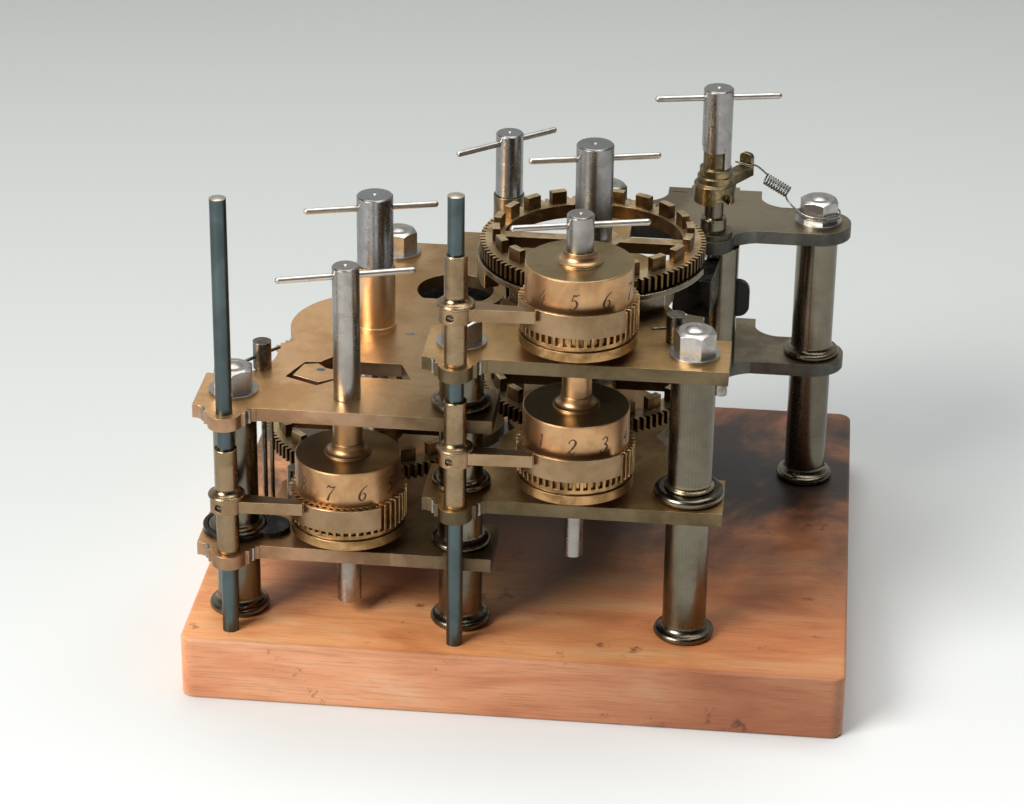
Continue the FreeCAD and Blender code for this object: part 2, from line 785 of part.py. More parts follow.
# Rear plates: a bar between two columns with a stepped back, half lapped under a front plate's tail
def rear_plate(x, top):
    bottom = top - PLATE
    half = BAY / 2
    back = [
        (BACK_FOOT, REAR_HALF - OVER),
        (BACK_FOOT, REAR_HALF),
        hollow((BACK_WAIST, REAR_HALF), (BACK_FOOT, REAR_HALF), (BACK_WAIST, BACK_WAIST_Y)),
        (BACK_WAIST, BACK_STEP_Y),
        (BACK_TOP, BACK_STEP_Y),
        (BACK_TOP, BACK_TOP_Y),
        (-BACK_TOP, BACK_TOP_Y),
        (-BACK_TOP, BACK_STEP_Y),
        (-BACK_WAIST, BACK_STEP_Y),
        (-BACK_WAIST, BACK_WAIST_Y),
        hollow((-BACK_WAIST, REAR_HALF), (-BACK_WAIST, BACK_WAIST_Y), (-BACK_FOOT, REAR_HALF)),
        (-BACK_FOOT, REAR_HALF - OVER),
    ]
    plate = join(
        block(x - half, x + half, BACK_Y - REAR_HALF, BACK_Y + REAR_HALF, bottom, top),
        rod(x - half, BACK_Y, bottom, top, REAR_HALF),
        rod(x + half, BACK_Y, bottom, top, REAR_HALF),
        slab(back, x, BACK_Y, bottom, top),
    )
    lap_z = top + REAR_DROP - LAP
    tail = TAIL_HALF + LAP_GAP
    plate = plate.cut(rod(x - half, BACK_Y, lap_z, top, EYE_R + LAP_GAP))
    plate = plate.cut(block(x - half - tail, x - half + tail, BACK_Y - REAR_HALF, BACK_Y, lap_z, top))
    for side in (-half, half):
        plate = plate.cut(rod(x + side, BACK_Y, bottom, top, STUD_R + STUD_GAP))
    return plate


def rear_lug(top):
    """Lug on the front of the right rear plates, with hollow corners, for the sixth spindle."""
    bottom = top - PLATE
    side = REAR_LUG_R - OVER
    reach = side + REAR_LUG_R * 2
    start = REAR_HALF - OVER + REAR_LUG_Y
    web = [
        (-reach, -start),
        (-reach, -start - OVER),
        hollow((-side, -start - OVER), (-reach, -start - OVER), (-side, 0)),
        (side, 0),
        hollow((side, -start - OVER), (side, 0), (reach, -start - OVER)),
        (reach, -start),
    ]
    return [slab(web, LUG_AXIS_X, LUG_AXIS_Y, bottom, top), rod(LUG_AXIS_X, LUG_AXIS_Y, bottom, top, REAR_LUG_R)]


def plate_c_lower():
    return join(rear_plate(REAR_C_X, C_LOWER), *rear_lug(C_LOWER))


def plate_c_upper():
    boss_top = C_UPPER + REAR_LUG_BOSS
    boss = rod(LUG_AXIS_X, LUG_AXIS_Y, C_UPPER, boss_top, REAR_LUG_R - OVER)
    plate = join(rear_plate(REAR_C_X, C_UPPER), *rear_lug(C_UPPER), boss)
    slot_x = REAR_C_X - (BACK_TOP + BACK_WAIST) / 2
    slot_y = BACK_Y + BACK_STEP_Y - BACK_FOOT / 6
    half = SLOT_LENGTH / 2
    bottom = C_UPPER - PLATE
    slot = block(slot_x - half, slot_x + half, slot_y, slot_y + SLOT_WIDTH, bottom, C_UPPER)
    plate = plate.cut(slot)
    return plate.cut(rod(LUG_AXIS_X, LUG_AXIS_Y, bottom, boss_top, ARBOR_6_R + FIT))


def plate_d(top):
    lap_z = top + REAR_DROP - LAP
    plate = rear_plate(REAR_D_X, top)
    plate = plate.cut(slab(ear_back(LAP_GAP), CELL_A_X, FRONT_Y, lap_z, top))
    plate = plate.cut(rod(GUARD_X, GUARD_STUD_Y, top - PLATE, top - PLATE / 2, GUARD_SHANK_R + FIT))
    return plate.cut(rod(SPINDLE_3_X, SPINDLE_3_Y, top - PLATE, top, ARBOR_3_R + FIT))


# Curved rest that stands on the right upper plate under the front of the ring gear
def ring_rail():
    foot = slab(
        sector(RAIL_FOOT_IN, RAIL_FOOT_OUT, RAIL_FOOT_START, RAIL_FOOT_END),
        CELL_B_X, GEAR_Y, B_UPPER, B_UPPER + RAIL_STEP,
    )
    flange = slab(
        sector(RAIL_FOOT_IN, RAIL_EDGE_R, RAIL_START, RAIL_END),
        CELL_B_X, GEAR_Y, B_UPPER + RAIL_STEP, B_UPPER + RAIL_TOP,
    )
    wall = slab(
        sector(RAIL_FOOT_OUT, RAIL_EDGE_R, RAIL_START, RAIL_WALL_END),
        CELL_B_X, GEAR_Y, B_UPPER + RAIL_WALL_BOTTOM, B_UPPER + RAIL_STEP,
    )
    tip_r = WHEEL_PITCH_R + ADDENDUM + LOOSE
    return join(foot, flange, wall).cut(rod(CELL_B_X, FRONT_Y, B_UPPER, B_UPPER + RAIL_TOP, tip_r))


# Small fixed fittings
def bearing_tube(x, y, bottom, top, radius, bore):
    return rod(x, y, bottom, top, radius).cut(rod(x, y, bottom, top, bore + FIT))


def bearing_tube_2():
    tube = bearing_tube(AXIS_2_X, GEAR_Y, A_UPPER, TUBE_2_TOP, TUBE_2_R, ARBOR_R)
    ring = bearing_tube(AXIS_2_X, GEAR_Y, A_UPPER, A_UPPER + TUBE_2_RING, TUBE_2_RING_R, ARBOR_R)
    return join(tube, ring)


def bearing_tube_3():
    tube = bearing_tube(SPINDLE_3_X, SPINDLE_3_Y, D_UPPER, TUBE_3_TOP, TUBE_3_R, ARBOR_3_R)
    side = across(SPINDLE_3_X - TUBE_3_R, SPINDLE_3_Y, TUBE_3_HOLE_Z, TUBE_3_R, 180, SCREW_HOLE_R)
    return tube.cut(side)


def guide_posts():
    guide = rod(GUIDE_X, POST_A[1], A_LOWER, A_UPPER - PLATE, GUIDE_R)
    stop = rod(STOP_X, STOP_Y, A_LOWER, A_LOWER + STOP_HEIGHT, STOP_R)
    return [guide, stop]


def stop_plate():
    """Blackened plate that lies on the left lower plate round the foot of the column."""
    top = A_LOWER + STOP_PLATE
    ring = rod(LEFT_X, FRONT_Y, A_LOWER, top, STOP_PLATE_R)
    nose = rod(LEFT_X + STOP_DISC_X, FRONT_Y, A_LOWER, top, STOP_DISC_R)
    return join(ring, nose).cut(rod(LEFT_X, FRONT_Y, A_LOWER, top, BASE_RIM_R + STUD_GAP))


def guard_plate(top):
    """Blackened disc on a stud let into the underside of a middle rear plate."""
    plate_bottom = top - PLATE
    disc_top = plate_bottom - GUARD_DROP
    return join(
        rod(GUARD_X, GUARD_Y, disc_top - GUARD_THICK, disc_top, GUARD_R),
        rod(GUARD_X, GUARD_STUD_Y, disc_top, plate_bottom, GUARD_STUD_R),
        rod(GUARD_X, GUARD_STUD_Y, plate_bottom, plate_bottom + PLATE / 2, GUARD_SHANK_R),
    )


def corner_bolt():
    """Bolt hanging under the right corner of the right upper plate."""
    bottom = B_UPPER - PLATE
    shank = rod(BOLT_X, BOLT_Y, bottom, bottom + PLATE / 2, BOLT_R / 2)
    return join(rod(BOLT_X, BOLT_Y, bottom - BOLT_HEAD, bottom, BOLT_R), shank)


def lug_column():
    return rod(POST_COLUMN_X, POST_COLUMN_Y, C_LOWER, C_UPPER - PLATE, POST_COLUMN_R)


def column_flag():
    """Blackened flag against the side of the post, with rounded outer corners."""
    left = POST_COLUMN_X
    right = POST_COLUMN_X + FLAG_REACH
    half = FLAG_THICK / 2
    flag = block(left, right, POST_COLUMN_Y - half, POST_COLUMN_Y + half, FLAG_BOTTOM, FLAG_TOP)
    outer = [e for e in flag.Edges if e.BoundBox.YLength > half and e.BoundBox.XMin > right - half]
    flag = flag.makeFillet(FLAG_CORNER, outer)
    return flag.cut(rod(POST_COLUMN_X, POST_COLUMN_Y, FLAG_BOTTOM, FLAG_TOP, POST_COLUMN_R + FIT))


def column_cam():
    """Blackened segment on the front of the post, behind the ring gear."""
    plan = sector(POST_COLUMN_R + FIT, CAM_REACH, CAM_FROM, CAM_TO)
    return slab(plan, POST_COLUMN_X, POST_COLUMN_Y, CAM_BOTTOM, CAM_TOP)


def index_rod(x, top):
    steps = [
        (0, BOARD_THICK),
        (ROD_R, BOARD_THICK),
        (ROD_R, top - ROD_DOME),
        dome(ROD_R, top - ROD_DOME, ROD_DOME),
    ]
    return turned(steps, x, ROD_Y)


def arm_tube(x, level):
    """Brass tube on the index rod with a flared bead above the arm."""
    bottom = level + RUNNING
    bore = ROD_R + FIT
    bead = (TORUS_TOP - ARM_TOP) / 3
    steps = [
        (bore, bottom),
        (TUBE_R, bottom),
        (TUBE_R, level + ARM_TOP),
        (TORUS_R - bead / 2, level + ARM_TOP),
        ((TORUS_R, level + ARM_TOP + bead / 2), (TORUS_R - bead / 2, level + ARM_TOP + bead)),
        hollow(
            (TUBE_R, level + ARM_TOP + bead),
            (TORUS_R - bead / 2, level + ARM_TOP + bead),
            (TUBE_R, level + TORUS_TOP),
        ),
        (TUBE_R, level + TUBE_TOP),
        (bore, level + TUBE_TOP),
    ]
    return turned(steps, x, ROD_Y)


def arm(x, wheel_x, level, band, grub_turn, arm_drop, band_drop):
    """Arm clamped on the tube and joined to the curved band in front of the figures."""
    plan = [(0, ARM_ROOT_HALF), (0, -ARM_ROOT_HALF), (ARM_REACH, ARM_END_FRONT), (ARM_REACH, ARM_END_BACK)]
    bar = slab(plan, x, ROD_Y, level + ARM_BOTTOM - arm_drop, level + ARM_TOP - arm_drop)
    bar = bar.cut(rod(wheel_x, FRONT_Y, level, level + DRUM_TOP, BAND_IN_R))
    start, end = (-90 + turn for turn in band)
    strip = slab(
        sector(BAND_IN_R, BAND_OUT_R, start, end),
        wheel_x, FRONT_Y, level + BAND_BOTTOM - band_drop, level + ARM_TOP - band_drop,
    )
    hub = rod(x, ROD_Y, level + ARM_HUB_BOTTOM, level + ARM_TOP, ARM_HUB_R)
    whole = hub.fuse([bar, strip])
    whole = whole.cut(rod(x, ROD_Y, level + ARM_HUB_BOTTOM, level + ARM_TOP, TUBE_R + FIT))
    return whole.cut(grub(x, level, grub_turn, ARM_HUB_R + OVER, GRUB_R + FIT))


def grub(x, level, turn, reach, radius):
    """Round plug or hole from the tube out to the given reach, seen from the front."""
    plan = spot(0, 0, 1, turn - 90)
    start = vec(x + plan[0] * (TUBE_R + FIT), ROD_Y + plan[1] * (TUBE_R + FIT), 0)
    start.z = level + (ARM_HUB_BOTTOM + ARM_TOP) / 2
    return Part.makeCylinder(radius, reach - TUBE_R - FIT, start, vec(plan[0], plan[1], 0))


def grub_screw(x, level, turn):
    reach = ARM_HUB_R - GRUB_INSET
    middle = level + (ARM_HUB_BOTTOM + ARM_TOP) / 2
    half = GRUB_SLOT / 2
    side = ARM_HUB_R
    slot = block(x - side, x + side, ROD_Y - side, ROD_Y - reach + OVER, middle - half, middle + half)
    return grub(x, level, turn, reach, GRUB_R).cut(slot)


# Figure wheels: a drum with figures on a toothed wheel with a rim below
def drum(x, level, with_hub, arbor_r, hub_top):
    """Hollow drum with a moulded collar, and a long hub where it reaches the plate above."""
    inner = DRUM_R - DRUM_WALL
    bore = arbor_r + FIT
    top = level + DRUM_TOP
    collar = level + COLLAR_TOP
    step = (COLLAR_TOP - DRUM_TOP) / 6
    steps = [
        (bore, top - DRUM_WALL),
        (inner, top - DRUM_WALL),
        (inner, level + WHEEL_TEETH_TOP),
        (DRUM_R, level + WHEEL_TEETH_TOP),
        (DRUM_R, top - OVER / 2),
        (DRUM_R - OVER / 2, top),
        (COLLAR_R, top),
        (COLLAR_R, top + step),
        hollow((COLLAR_NECK_R, top + step), (COLLAR_R, top + step), (COLLAR_NECK_R, collar - step)),
        (COLLAR_NECK_R, collar),
    ]
    if with_hub:
        steps += [(HUB_R, collar), (HUB_R, hub_top)]
    steps += [(bore, steps[-1][1])]
    return turned(steps, x, FRONT_Y)


def toothed_wheel(x, level, arbor_r, lean):
    """Toothed wheel on a plain rim, a groove and a boss; a gap faces the ring gear."""
    tip = WHEEL_PITCH_R + ADDENDUM
    root = WHEEL_PITCH_R - DEDENDUM
    first = 90 - lean + 180.0 / WHEEL_TEETH
    teeth = gear_steps(WHEEL_TEETH, tip, root, first, WHEEL_TEETH)
    groove_top = level + WHEEL_RIM_TOP + WHEEL_GROOVE
    wheel = join(
        slab(teeth, x, FRONT_Y, level + WHEEL_PLAIN_TOP, level + WHEEL_TEETH_TOP),
        rod(x, FRONT_Y, groove_top, level + WHEEL_PLAIN_TOP, WHEEL_PLAIN_R),
        rod(x, FRONT_Y, level + WHEEL_RIM_TOP, groove_top, WHEEL_GROOVE_R),
        rod(x, FRONT_Y, level + WHEEL_BOSS, level + WHEEL_RIM_TOP, WHEEL_RIM_R),
        rod(x, FRONT_Y, level + RUNNING, level + WHEEL_BOSS, WHEEL_BOSS_R),
    )
    return wheel.cut(rod(x, FRONT_Y, level, level + WHEEL_TEETH_TOP, arbor_r + FIT))


# Ring gears: rim with teeth outside and blocks on top, carried on four spokes
def ring_gear(x, level, lean):
    tip = RING_PITCH_R + RING_ADDENDUM
    root = tip - ADDENDUM - DEDENDUM
    bottom = level + RING_BOTTOM
    top = level + RING_TOP
    teeth = gear_steps(RING_TEETH, tip, root, -90 - lean, RING_TEETH)
    ring = slab(teeth, x, GEAR_Y, bottom, top).cut(rod(x, GEAR_Y, bottom, top, RING_BORE_R))
    parts = []
    for number in range(RING_BLOCKS):
        middle = BLOCK_PHASE + number * 360.0 / RING_BLOCKS
        plan = sector(BLOCK_IN_R, BLOCK_OUT_R, middle - BLOCK_SPAN / 2, middle + BLOCK_SPAN / 2)
        parts.append(slab(plan, x, GEAR_Y, top, top + BLOCK_HIGH))
    for number in range(SPOKES):
        spoke = block(0, RING_BORE_R + OVER, -SPOKE_WIDTH / 2, SPOKE_WIDTH / 2, top - SPOKE_THICK, top)
        spoke.rotate(vec(0, 0, 0), vec(0, 0, 1), number * 360.0 / SPOKES)
        spoke.translate(vec(x, GEAR_Y, 0))
        parts.append(spoke)
    parts.append(rod(x, GEAR_Y, bottom, top, RING_HUB_R))
    parts.append(rod(x, GEAR_Y, level + RUNNING, bottom, RING_BOSS_R))
    return join(ring, *parts).cut(rod(x, GEAR_Y, level, top, ARBOR_R + FIT))


# Spindles: a turned grip with a centre mark, bored across for its bar
def grip(radius, bottom, top):
    return [
        (radius, bottom),
        (radius, top - GRIP_CHAMFER),
        (radius - GRIP_CHAMFER, top),
        (DIMPLE_R, top),
        (0, top - DIMPLE),
    ]


def spindle(x, y, arbor_r, arbor_end, grip_r, grip_bottom, grip_top, bar):
    steps = [(0, arbor_end), (arbor_r, arbor_end), (arbor_r, grip_bottom)]
    steps += grip(grip_r, grip_bottom, grip_top)
    drop, length, turn = bar
    return turned(steps, x, y).cut(across(x, y, grip_top - drop, length, turn, BAR_R + FIT))


def bar_of(x, y, grip_top, bar, slide):
    drop, length, turn = bar
    return cross_bar(*spot(x, y, slide, turn), grip_top - drop, length, turn, BAR_R)


def spindle_6():
    """Steel socket over the lever's neck, its skirt cut away on the front and left."""
    bottom = LEVER_NECK_TOP + RUNNING
    body = spindle(
        LUG_AXIS_X, LUG_AXIS_Y, ARBOR_6_R, C_UPPER - PLATE,
        SPINDLE_6_R, SPINDLE_6_CUT, SPINDLE_6_TOP, BAR_6,
    )
    shoulder = rod(LUG_AXIS_X, LUG_AXIS_Y, bottom, SPINDLE_6_CUT, SPINDLE_6_STEP_R)
    skirt = slab(
        sector(LEVER_NECK_R + RUNNING, SPINDLE_6_R, *SKIRT_TURNS),
        LUG_AXIS_X, LUG_AXIS_Y, LEVER_RING_TOP + RUNNING, SPINDLE_6_CUT,
    )
    return join(body, shoulder, skirt)


# Spring lever: stepped brass hub on the sixth spindle with a bent arm that ends in an upright tab
def lever():
    bore = ARBOR_6_R + FIT
    section = [
        (bore, LEVER_BOTTOM),
        (LEVER_FOOT_R, LEVER_BOTTOM),
        (LEVER_FOOT_R, LEVER_FOOT_TOP - OVER),
        (LEVER_FOOT_R - OVER, LEVER_FOOT_TOP),
        (LEVER_BODY_R, LEVER_FOOT_TOP),
        (LEVER_BODY_R, LEVER_BODY_TOP),
        (LEVER_RING_R, LEVER_BODY_TOP),
        (LEVER_RING_R, LEVER_RING_TOP),
        (LEVER_NECK_R, LEVER_RING_TOP),
        (LEVER_NECK_R, LEVER_NECK_TOP),
        (bore, LEVER_NECK_TOP),
    ]
    hub = turned(section, LUG_AXIS_X, LUG_AXIS_Y)
    front = spot(LUG_AXIS_X, LUG_AXIS_Y, LEVER_FOOT_R, LEVER_NOTCH_TURN)
    notch = across(*front, LEVER_BOTTOM + LEVER_NOTCH_UP, LEVER_FOOT_R, LEVER_NOTCH_TURN, LEVER_NOTCH_R)
    return hub.cut(notch).fuse(lever_arm())


def lever_arm():
    """Flat arm that ends in an upright tab with rounded corners."""
    half = LEVER_WIDTH / 2
    root = ARBOR_6_R + OVER
    top = LEVER_ARM_TOP + LEVER_TAB_RISE
    flat = block(root, LEVER_REACH, -half, half, LEVER_ARM_BOTTOM, LEVER_ARM_TOP)
    tab = block(LEVER_REACH - LEVER_TAB, LEVER_REACH, -half, half, LEVER_ARM_BOTTOM, top)
    corners = [e for e in level_edges(tab, top) if e.BoundBox.YLength < FIT]
    tab = tab.makeFillet(LEVER_TAB_CORNER, corners)
    arm_solid = flat.fuse(tab)
    arm_solid.rotate(vec(0, 0, 0), vec(0, 0, 1), LEVER_TURN)
    arm_solid.translate(vec(LUG_AXIS_X, LUG_AXIS_Y, 0))
    return arm_solid


def stack_collar():
    """Two-step turned collar between the lug and the lever."""
    boss = C_UPPER + REAR_LUG_BOSS
    bore = ARBOR_6_R + FIT
    section = [
        (bore, boss),
        (STACK_COLLAR_R, boss),
        (STACK_COLLAR_R, STACK_COLLAR_TOP),
        (STACK_DRUM_R, STACK_COLLAR_TOP),
        (STACK_DRUM_R, LEVER_BOTTOM - RUNNING),
        (bore, LEVER_BOTTOM - RUNNING),
    ]
    return turned(section, LUG_AXIS_X, LUG_AXIS_Y)


# Coil spring: one wire from the lever's hole through the coil to the loop round the nut
def unit(vector):
    return vector * (1 / vector.Length)


def spring_nodes():
    """Points of the wire with the direction it runs in at each."""
    outward = vec(*spot(0, 0, 1, LEVER_TURN), 0)
    right = vec(outward.y, -outward.x, 0)
    axle = vec(LUG_AXIS_X, LUG_AXIS_Y, LEVER_ARM_TOP + HOOK_RISE)
    inside = axle + outward * (LEVER_REACH - LEVER_TAB - HOOK_SLACK)
    beside = LEVER_WIDTH / 2 + HOOK_SLACK
    nut_axis = vec(BACK_RIGHT_X, BACK_Y, C_UPPER + LOOP_HIGH)
    loop_r = NUT_CORNER_R + LOOP_GAP + WIRE_R
    slope = math.radians(COIL_SLOPE)
    coil_from = vec(COIL_X, BACK_Y, COIL_Z)
    axis = vec(math.cos(slope), 0, -math.sin(slope))
    side = vec(0, -1, 0)
    up = unit(side.cross(axis))
    nodes = [
        (inside - right * beside, right),
        (inside + right * (beside - HOOK_TURN), right),
        (inside + right * beside + outward * HOOK_TURN, unit(outward + axis)),
    ]
    steepness = COIL_PITCH / (2 * math.pi * COIL_R)
    for quarter in range(1, 4 * COIL_TURNS + 4):
        angle = math.pi * quarter / 2
        radial = side * math.cos(angle) + up * math.sin(angle)
        along = up * math.cos(angle) - side * math.sin(angle)
        nodes.append((
            coil_from + axis * (COIL_PITCH * quarter / 4) + radial * COIL_R,
            unit(along + axis * steepness),
        ))
    end = nodes[-1][0]
    gap = math.hypot(end.x - nut_axis.x, end.y - nut_axis.y)
    first = math.atan2(end.y - nut_axis.y, end.x - nut_axis.x) + math.acos(loop_r / gap)
    fall = LOOP_PITCH / (2 * math.pi * loop_r)
    for quarter in range(LOOP_QUARTERS + 1):
        angle = first + math.pi * quarter / 2
        centre = nut_axis - vec(0, 0, LOOP_PITCH * quarter / 4)
        radial = vec(math.cos(angle), math.sin(angle), 0)
        along = vec(-radial.y, radial.x, -fall)
        nodes.append((centre + radial * loop_r, unit(along)))
    last, direction = nodes[-1]
    nodes.append((last + direction * TAIL_LENGTH, direction))
    return nodes


def arc_between(start, apex, end):
    """Arc that touches both lines from the apex; a straight run where they are in line."""
    before = unit(apex - start)
    after = unit(end - apex)
    turn = math.acos(max(-1, min(1, before.dot(after))))
    if turn < 0.001:
        return Part.makeLine(start, end), None
    middle = (start + end) * 0.5
    through = middle + (apex - middle) * (math.tan(turn / 4) / math.tan(turn / 2))
    radius = (end - start).Length / 2 / math.sin(turn / 2)
    return Part.Arc(start, through, end).toShape(), radius


def spring():
    nodes = spring_nodes()
    edges = []
    radii = []
    points = []
    for (start, leaving), (end, arriving) in zip(nodes, nodes[1:]):
        span = end - start
        both = leaving + arriving
        bend = leaving.dot(arriving) - 1
        if abs(bend) < 0.000001 and unit(span).dot(leaving) > 0.999999:
            edges.append(Part.makeLine(start, end))
            continue
        across_both = span.dot(both)
        if abs(bend) < 0.000001:
            handle = span.dot(span) / (2 * across_both)
        else:
            root = math.sqrt(across_both * across_both - 2 * bend * span.dot(span))
            handle = (across_both - root) / (2 * bend)
        first = start + leaving * handle
        second = end - arriving * handle
        joint = (first + second) * 0.5
        for piece, radius in (arc_between(start, first, joint), arc_between(joint, second, end)):
            edges.append(piece)
            if radius:
                radii.append(radius)
    path = Part.Wire(edges)
    for edge in edges:
        points += edge.discretize(Number=9)[:-1]
    print("spring: least bend radius", round(min(radii), 2), "wire", round(path.Length, 1))
    print("spring: least gap to itself", round(own_gap(points), 2))
    start, leaving = nodes[0]
    ring = Part.Wire(Part.makeCircle(WIRE_R, start, leaving))
    tube = path.makePipeShell([ring], True, False)
    print("spring: solid", tube.isValid(), round(tube.Volume / (math.pi * WIRE_R**2 * path.Length), 3))
    return tube


def own_gap(points):
    """Least clear distance between stretches of the wire that lie more than a few diameters apart."""
    least = COIL_R
    travelled = [0.0]
    for before, after in zip(points, points[1:]):
        travelled.append(travelled[-1] + (after - before).Length)
    for i, one in enumerate(points):
        for j in range(i + 1, len(points)):
            if travelled[j] - travelled[i] > 6 * WIRE_R:
                least = min(least, (points[j] - one).Length - 2 * WIRE_R)
    return least


# Lock posts: a round head with a cross pin, turning on a thin shank
def lock_post(place, level, pin, shank_end):
    x, y = place
    length, turn = pin
    head = join(
        rod(x, y, level + RUNNING, level + POST_HEIGHT, POST_R),
        rod(x, y, shank_end, level + RUNNING, POST_SHANK_R),
    )
    pin_z = level + POST_HEIGHT / 2
    bar = cross_bar(x, y, pin_z, length, turn, POST_PIN_R)
    return [head.cut(across(x, y, pin_z, length, turn, POST_PIN_R + FIT)), bar]


# Carry parts: a toothed sector under the left upper plate, fingers on the third spindle
def carry_sector():
    pitch = 360.0 / CARRY_TEETH
    count = int((CARRY_TO - CARRY_FROM) / pitch)
    teeth = gear_steps(CARRY_TEETH, CARRY_R, CARRY_R - ADDENDUM - DEDENDUM, CARRY_FROM, count)
    bottom = CARRY_TOP - CARRY_THICK
    fan = slab([(0, 0)] + teeth, CARRY_X, CARRY_Y, bottom, CARRY_TOP)
    hub = rod(CARRY_X, CARRY_Y, bottom, CARRY_TOP, CARRY_HUB_R)
    return join(fan, hub).cut(rod(CARRY_X, CARRY_Y, bottom, CARRY_TOP, CARRY_STUD_R + FIT))


def carry_fingers():
    """Fingers in steps round the third spindle, each on its own hub."""
    low = D_LOWER + RUNNING
    rise = (D_UPPER - PLATE - D_LOWER - 2 * RUNNING) / FINGER_LEVELS
    tube = bearing_tube(SPINDLE_3_X, SPINDLE_3_Y, low, low + rise * FINGER_LEVELS, FINGER_HUB_R, ARBOR_3_R)
    fingers = []
    for number in range(FINGER_LEVELS):
        bottom = low + rise * (number + 0.5)
        finger = block(FINGER_HUB_R - OVER, FINGER_REACH, -FINGER_WIDTH / 2, FINGER_WIDTH / 2,
                       bottom, bottom + FINGER_THICK)
        finger.rotate(vec(0, 0, 0), vec(0, 0, 1), 180 + FINGER_TURN * number)
        finger.translate(vec(SPINDLE_3_X, SPINDLE_3_Y, 0))
        fingers.append(finger)
    return join(tube, *fingers)


# Every node of the object, frame first
save("base_board", base_board())
save("column_feet", *[
    column(x, y, BOARD_THICK, foot - PLATE, FOOT_RIM_R, FOOT_RIM, FOOT_FLARE)
    for (x, y, level), foot in zip(STUDS, FOOT_PLATES)
])
seated = column(RIGHT_X, FRONT_Y, B_LOWER + SEAT, B_UPPER - PLATE,
                SEAT_FOOT_R, SEAT_FOOT_RIM, SEAT_FOOT_FLARE)
save("column_lengths", seated, *[
    column(x, y, low, high - PLATE, BASE_RIM_R, BASE_RIM, BASE_FLARE)
    for x, y, low, high in COLUMN_LENGTHS
])
save("seat_disc", seat_disc())
save("column_studs", *[stud(*place) for place in STUDS])
save("washers", *[washer(*place) for place in STUDS])
save("nuts", *[nut(*place, turn) for place, turn in zip(STUDS, NUT_TURNS)])
save("plate_a_lower", plate_a_lower())
save("plate_a_upper", plate_a_upper())
save("plate_b_lower", plate_b_lower())
save("plate_b_upper", plate_b_upper())
save("plate_c_lower", plate_c_lower())
save("plate_c_upper", plate_c_upper())
save("plate_d_lower", plate_d(D_LOWER))
save("plate_d_upper", plate_d(D_UPPER))
save("small_pins", *[
    pin
    for x, level in ((CELL_A_X, A_LOWER), (CELL_A_X, A_UPPER), (CELL_B_X, B_LOWER), (CELL_B_X, B_UPPER))
    for pin in lug_pins(x, level)
])
save("latch_block", latch_block(), edge_rack())
save("frame_screws", flush_screw(*LATCH_SCREW), flush_screw(*DISC_SCREW), carry_stud(), corner_bolt())
save("bearing_tube_2", bearing_tube_2())
save("bearing_tube_3", bearing_tube_3())
save("guide_posts", *guide_posts())
save("black_plates", stop_plate(), guard_plate(D_LOWER), guard_plate(D_UPPER))
save("ring_rail", ring_rail())
save("lug_post_and_collar", lug_column(), stack_collar())
save("column_flag", column_flag(), column_cam())

save("rod_left", index_rod(LEFT_X, ROD_LEFT_TOP))
save("tube_left", arm_tube(LEFT_X, A_LOWER))
save("arm_left", arm(LEFT_X, CELL_A_X, A_LOWER, BAND_A, GRUB_TURN_A, ARM_A_DROP, BAND_A_DROP))
save("clamp_left", grub_screw(LEFT_X, A_LOWER, GRUB_TURN_A))
save("rod_middle", index_rod(CENTRE_X, ROD_MIDDLE_TOP))
save("tubes_middle", arm_tube(CENTRE_X, B_LOWER), arm_tube(CENTRE_X, B_UPPER))
save("arms_middle",
     arm(CENTRE_X, CELL_B_X, B_LOWER, BAND_RIGHT, GRUB_TURN_L, 0, 0),
     arm(CENTRE_X, CELL_B_X, B_UPPER, BAND_RIGHT, GRUB_TURN_U, 0, 0))
save("clamps_middle",
     grub_screw(CENTRE_X, B_LOWER, GRUB_TURN_L),
     grub_screw(CENTRE_X, B_UPPER, GRUB_TURN_U))

save("spindle_a", spindle(CELL_A_X, FRONT_Y, ARBOR_R, ARBOR_A_END,
                          SPINDLE_A_R, A_UPPER + RUNNING, SPINDLE_A_TOP, BAR_A))
save("bar_a", bar_of(CELL_A_X, FRONT_Y, SPINDLE_A_TOP, BAR_A, 0))
save("drum_a", drum(CELL_A_X, A_LOWER, True, ARBOR_R, A_UPPER - PLATE - RUNNING))
save("toothed_wheel_a", toothed_wheel(CELL_A_X, A_LOWER, ARBOR_R, LEAN_A))
save("spindle_u", spindle(CELL_B_X, FRONT_Y, ARBOR_U_R, ARBOR_MEET + RUNNING,
                          SPINDLE_U_R, B_UPPER + COLLAR_TOP, SPINDLE_U_TOP, BAR_U))
save("bar_u", bar_of(CELL_B_X, FRONT_Y, SPINDLE_U_TOP, BAR_U, 0))
save("drum_u", drum(CELL_B_X, B_UPPER, False, ARBOR_U_R, 0))
save("toothed_wheel_u", toothed_wheel(CELL_B_X, B_UPPER, ARBOR_U_R, 0))
save("arbor_l", rod(CELL_B_X, FRONT_Y, ARBOR_L_END, ARBOR_MEET, ARBOR_L_R))
save("drum_l", drum(CELL_B_X, B_LOWER, True, ARBOR_L_R, B_UPPER - PLATE - RUNNING))
save("toothed_wheel_l", toothed_wheel(CELL_B_X, B_LOWER, ARBOR_L_R, 0))

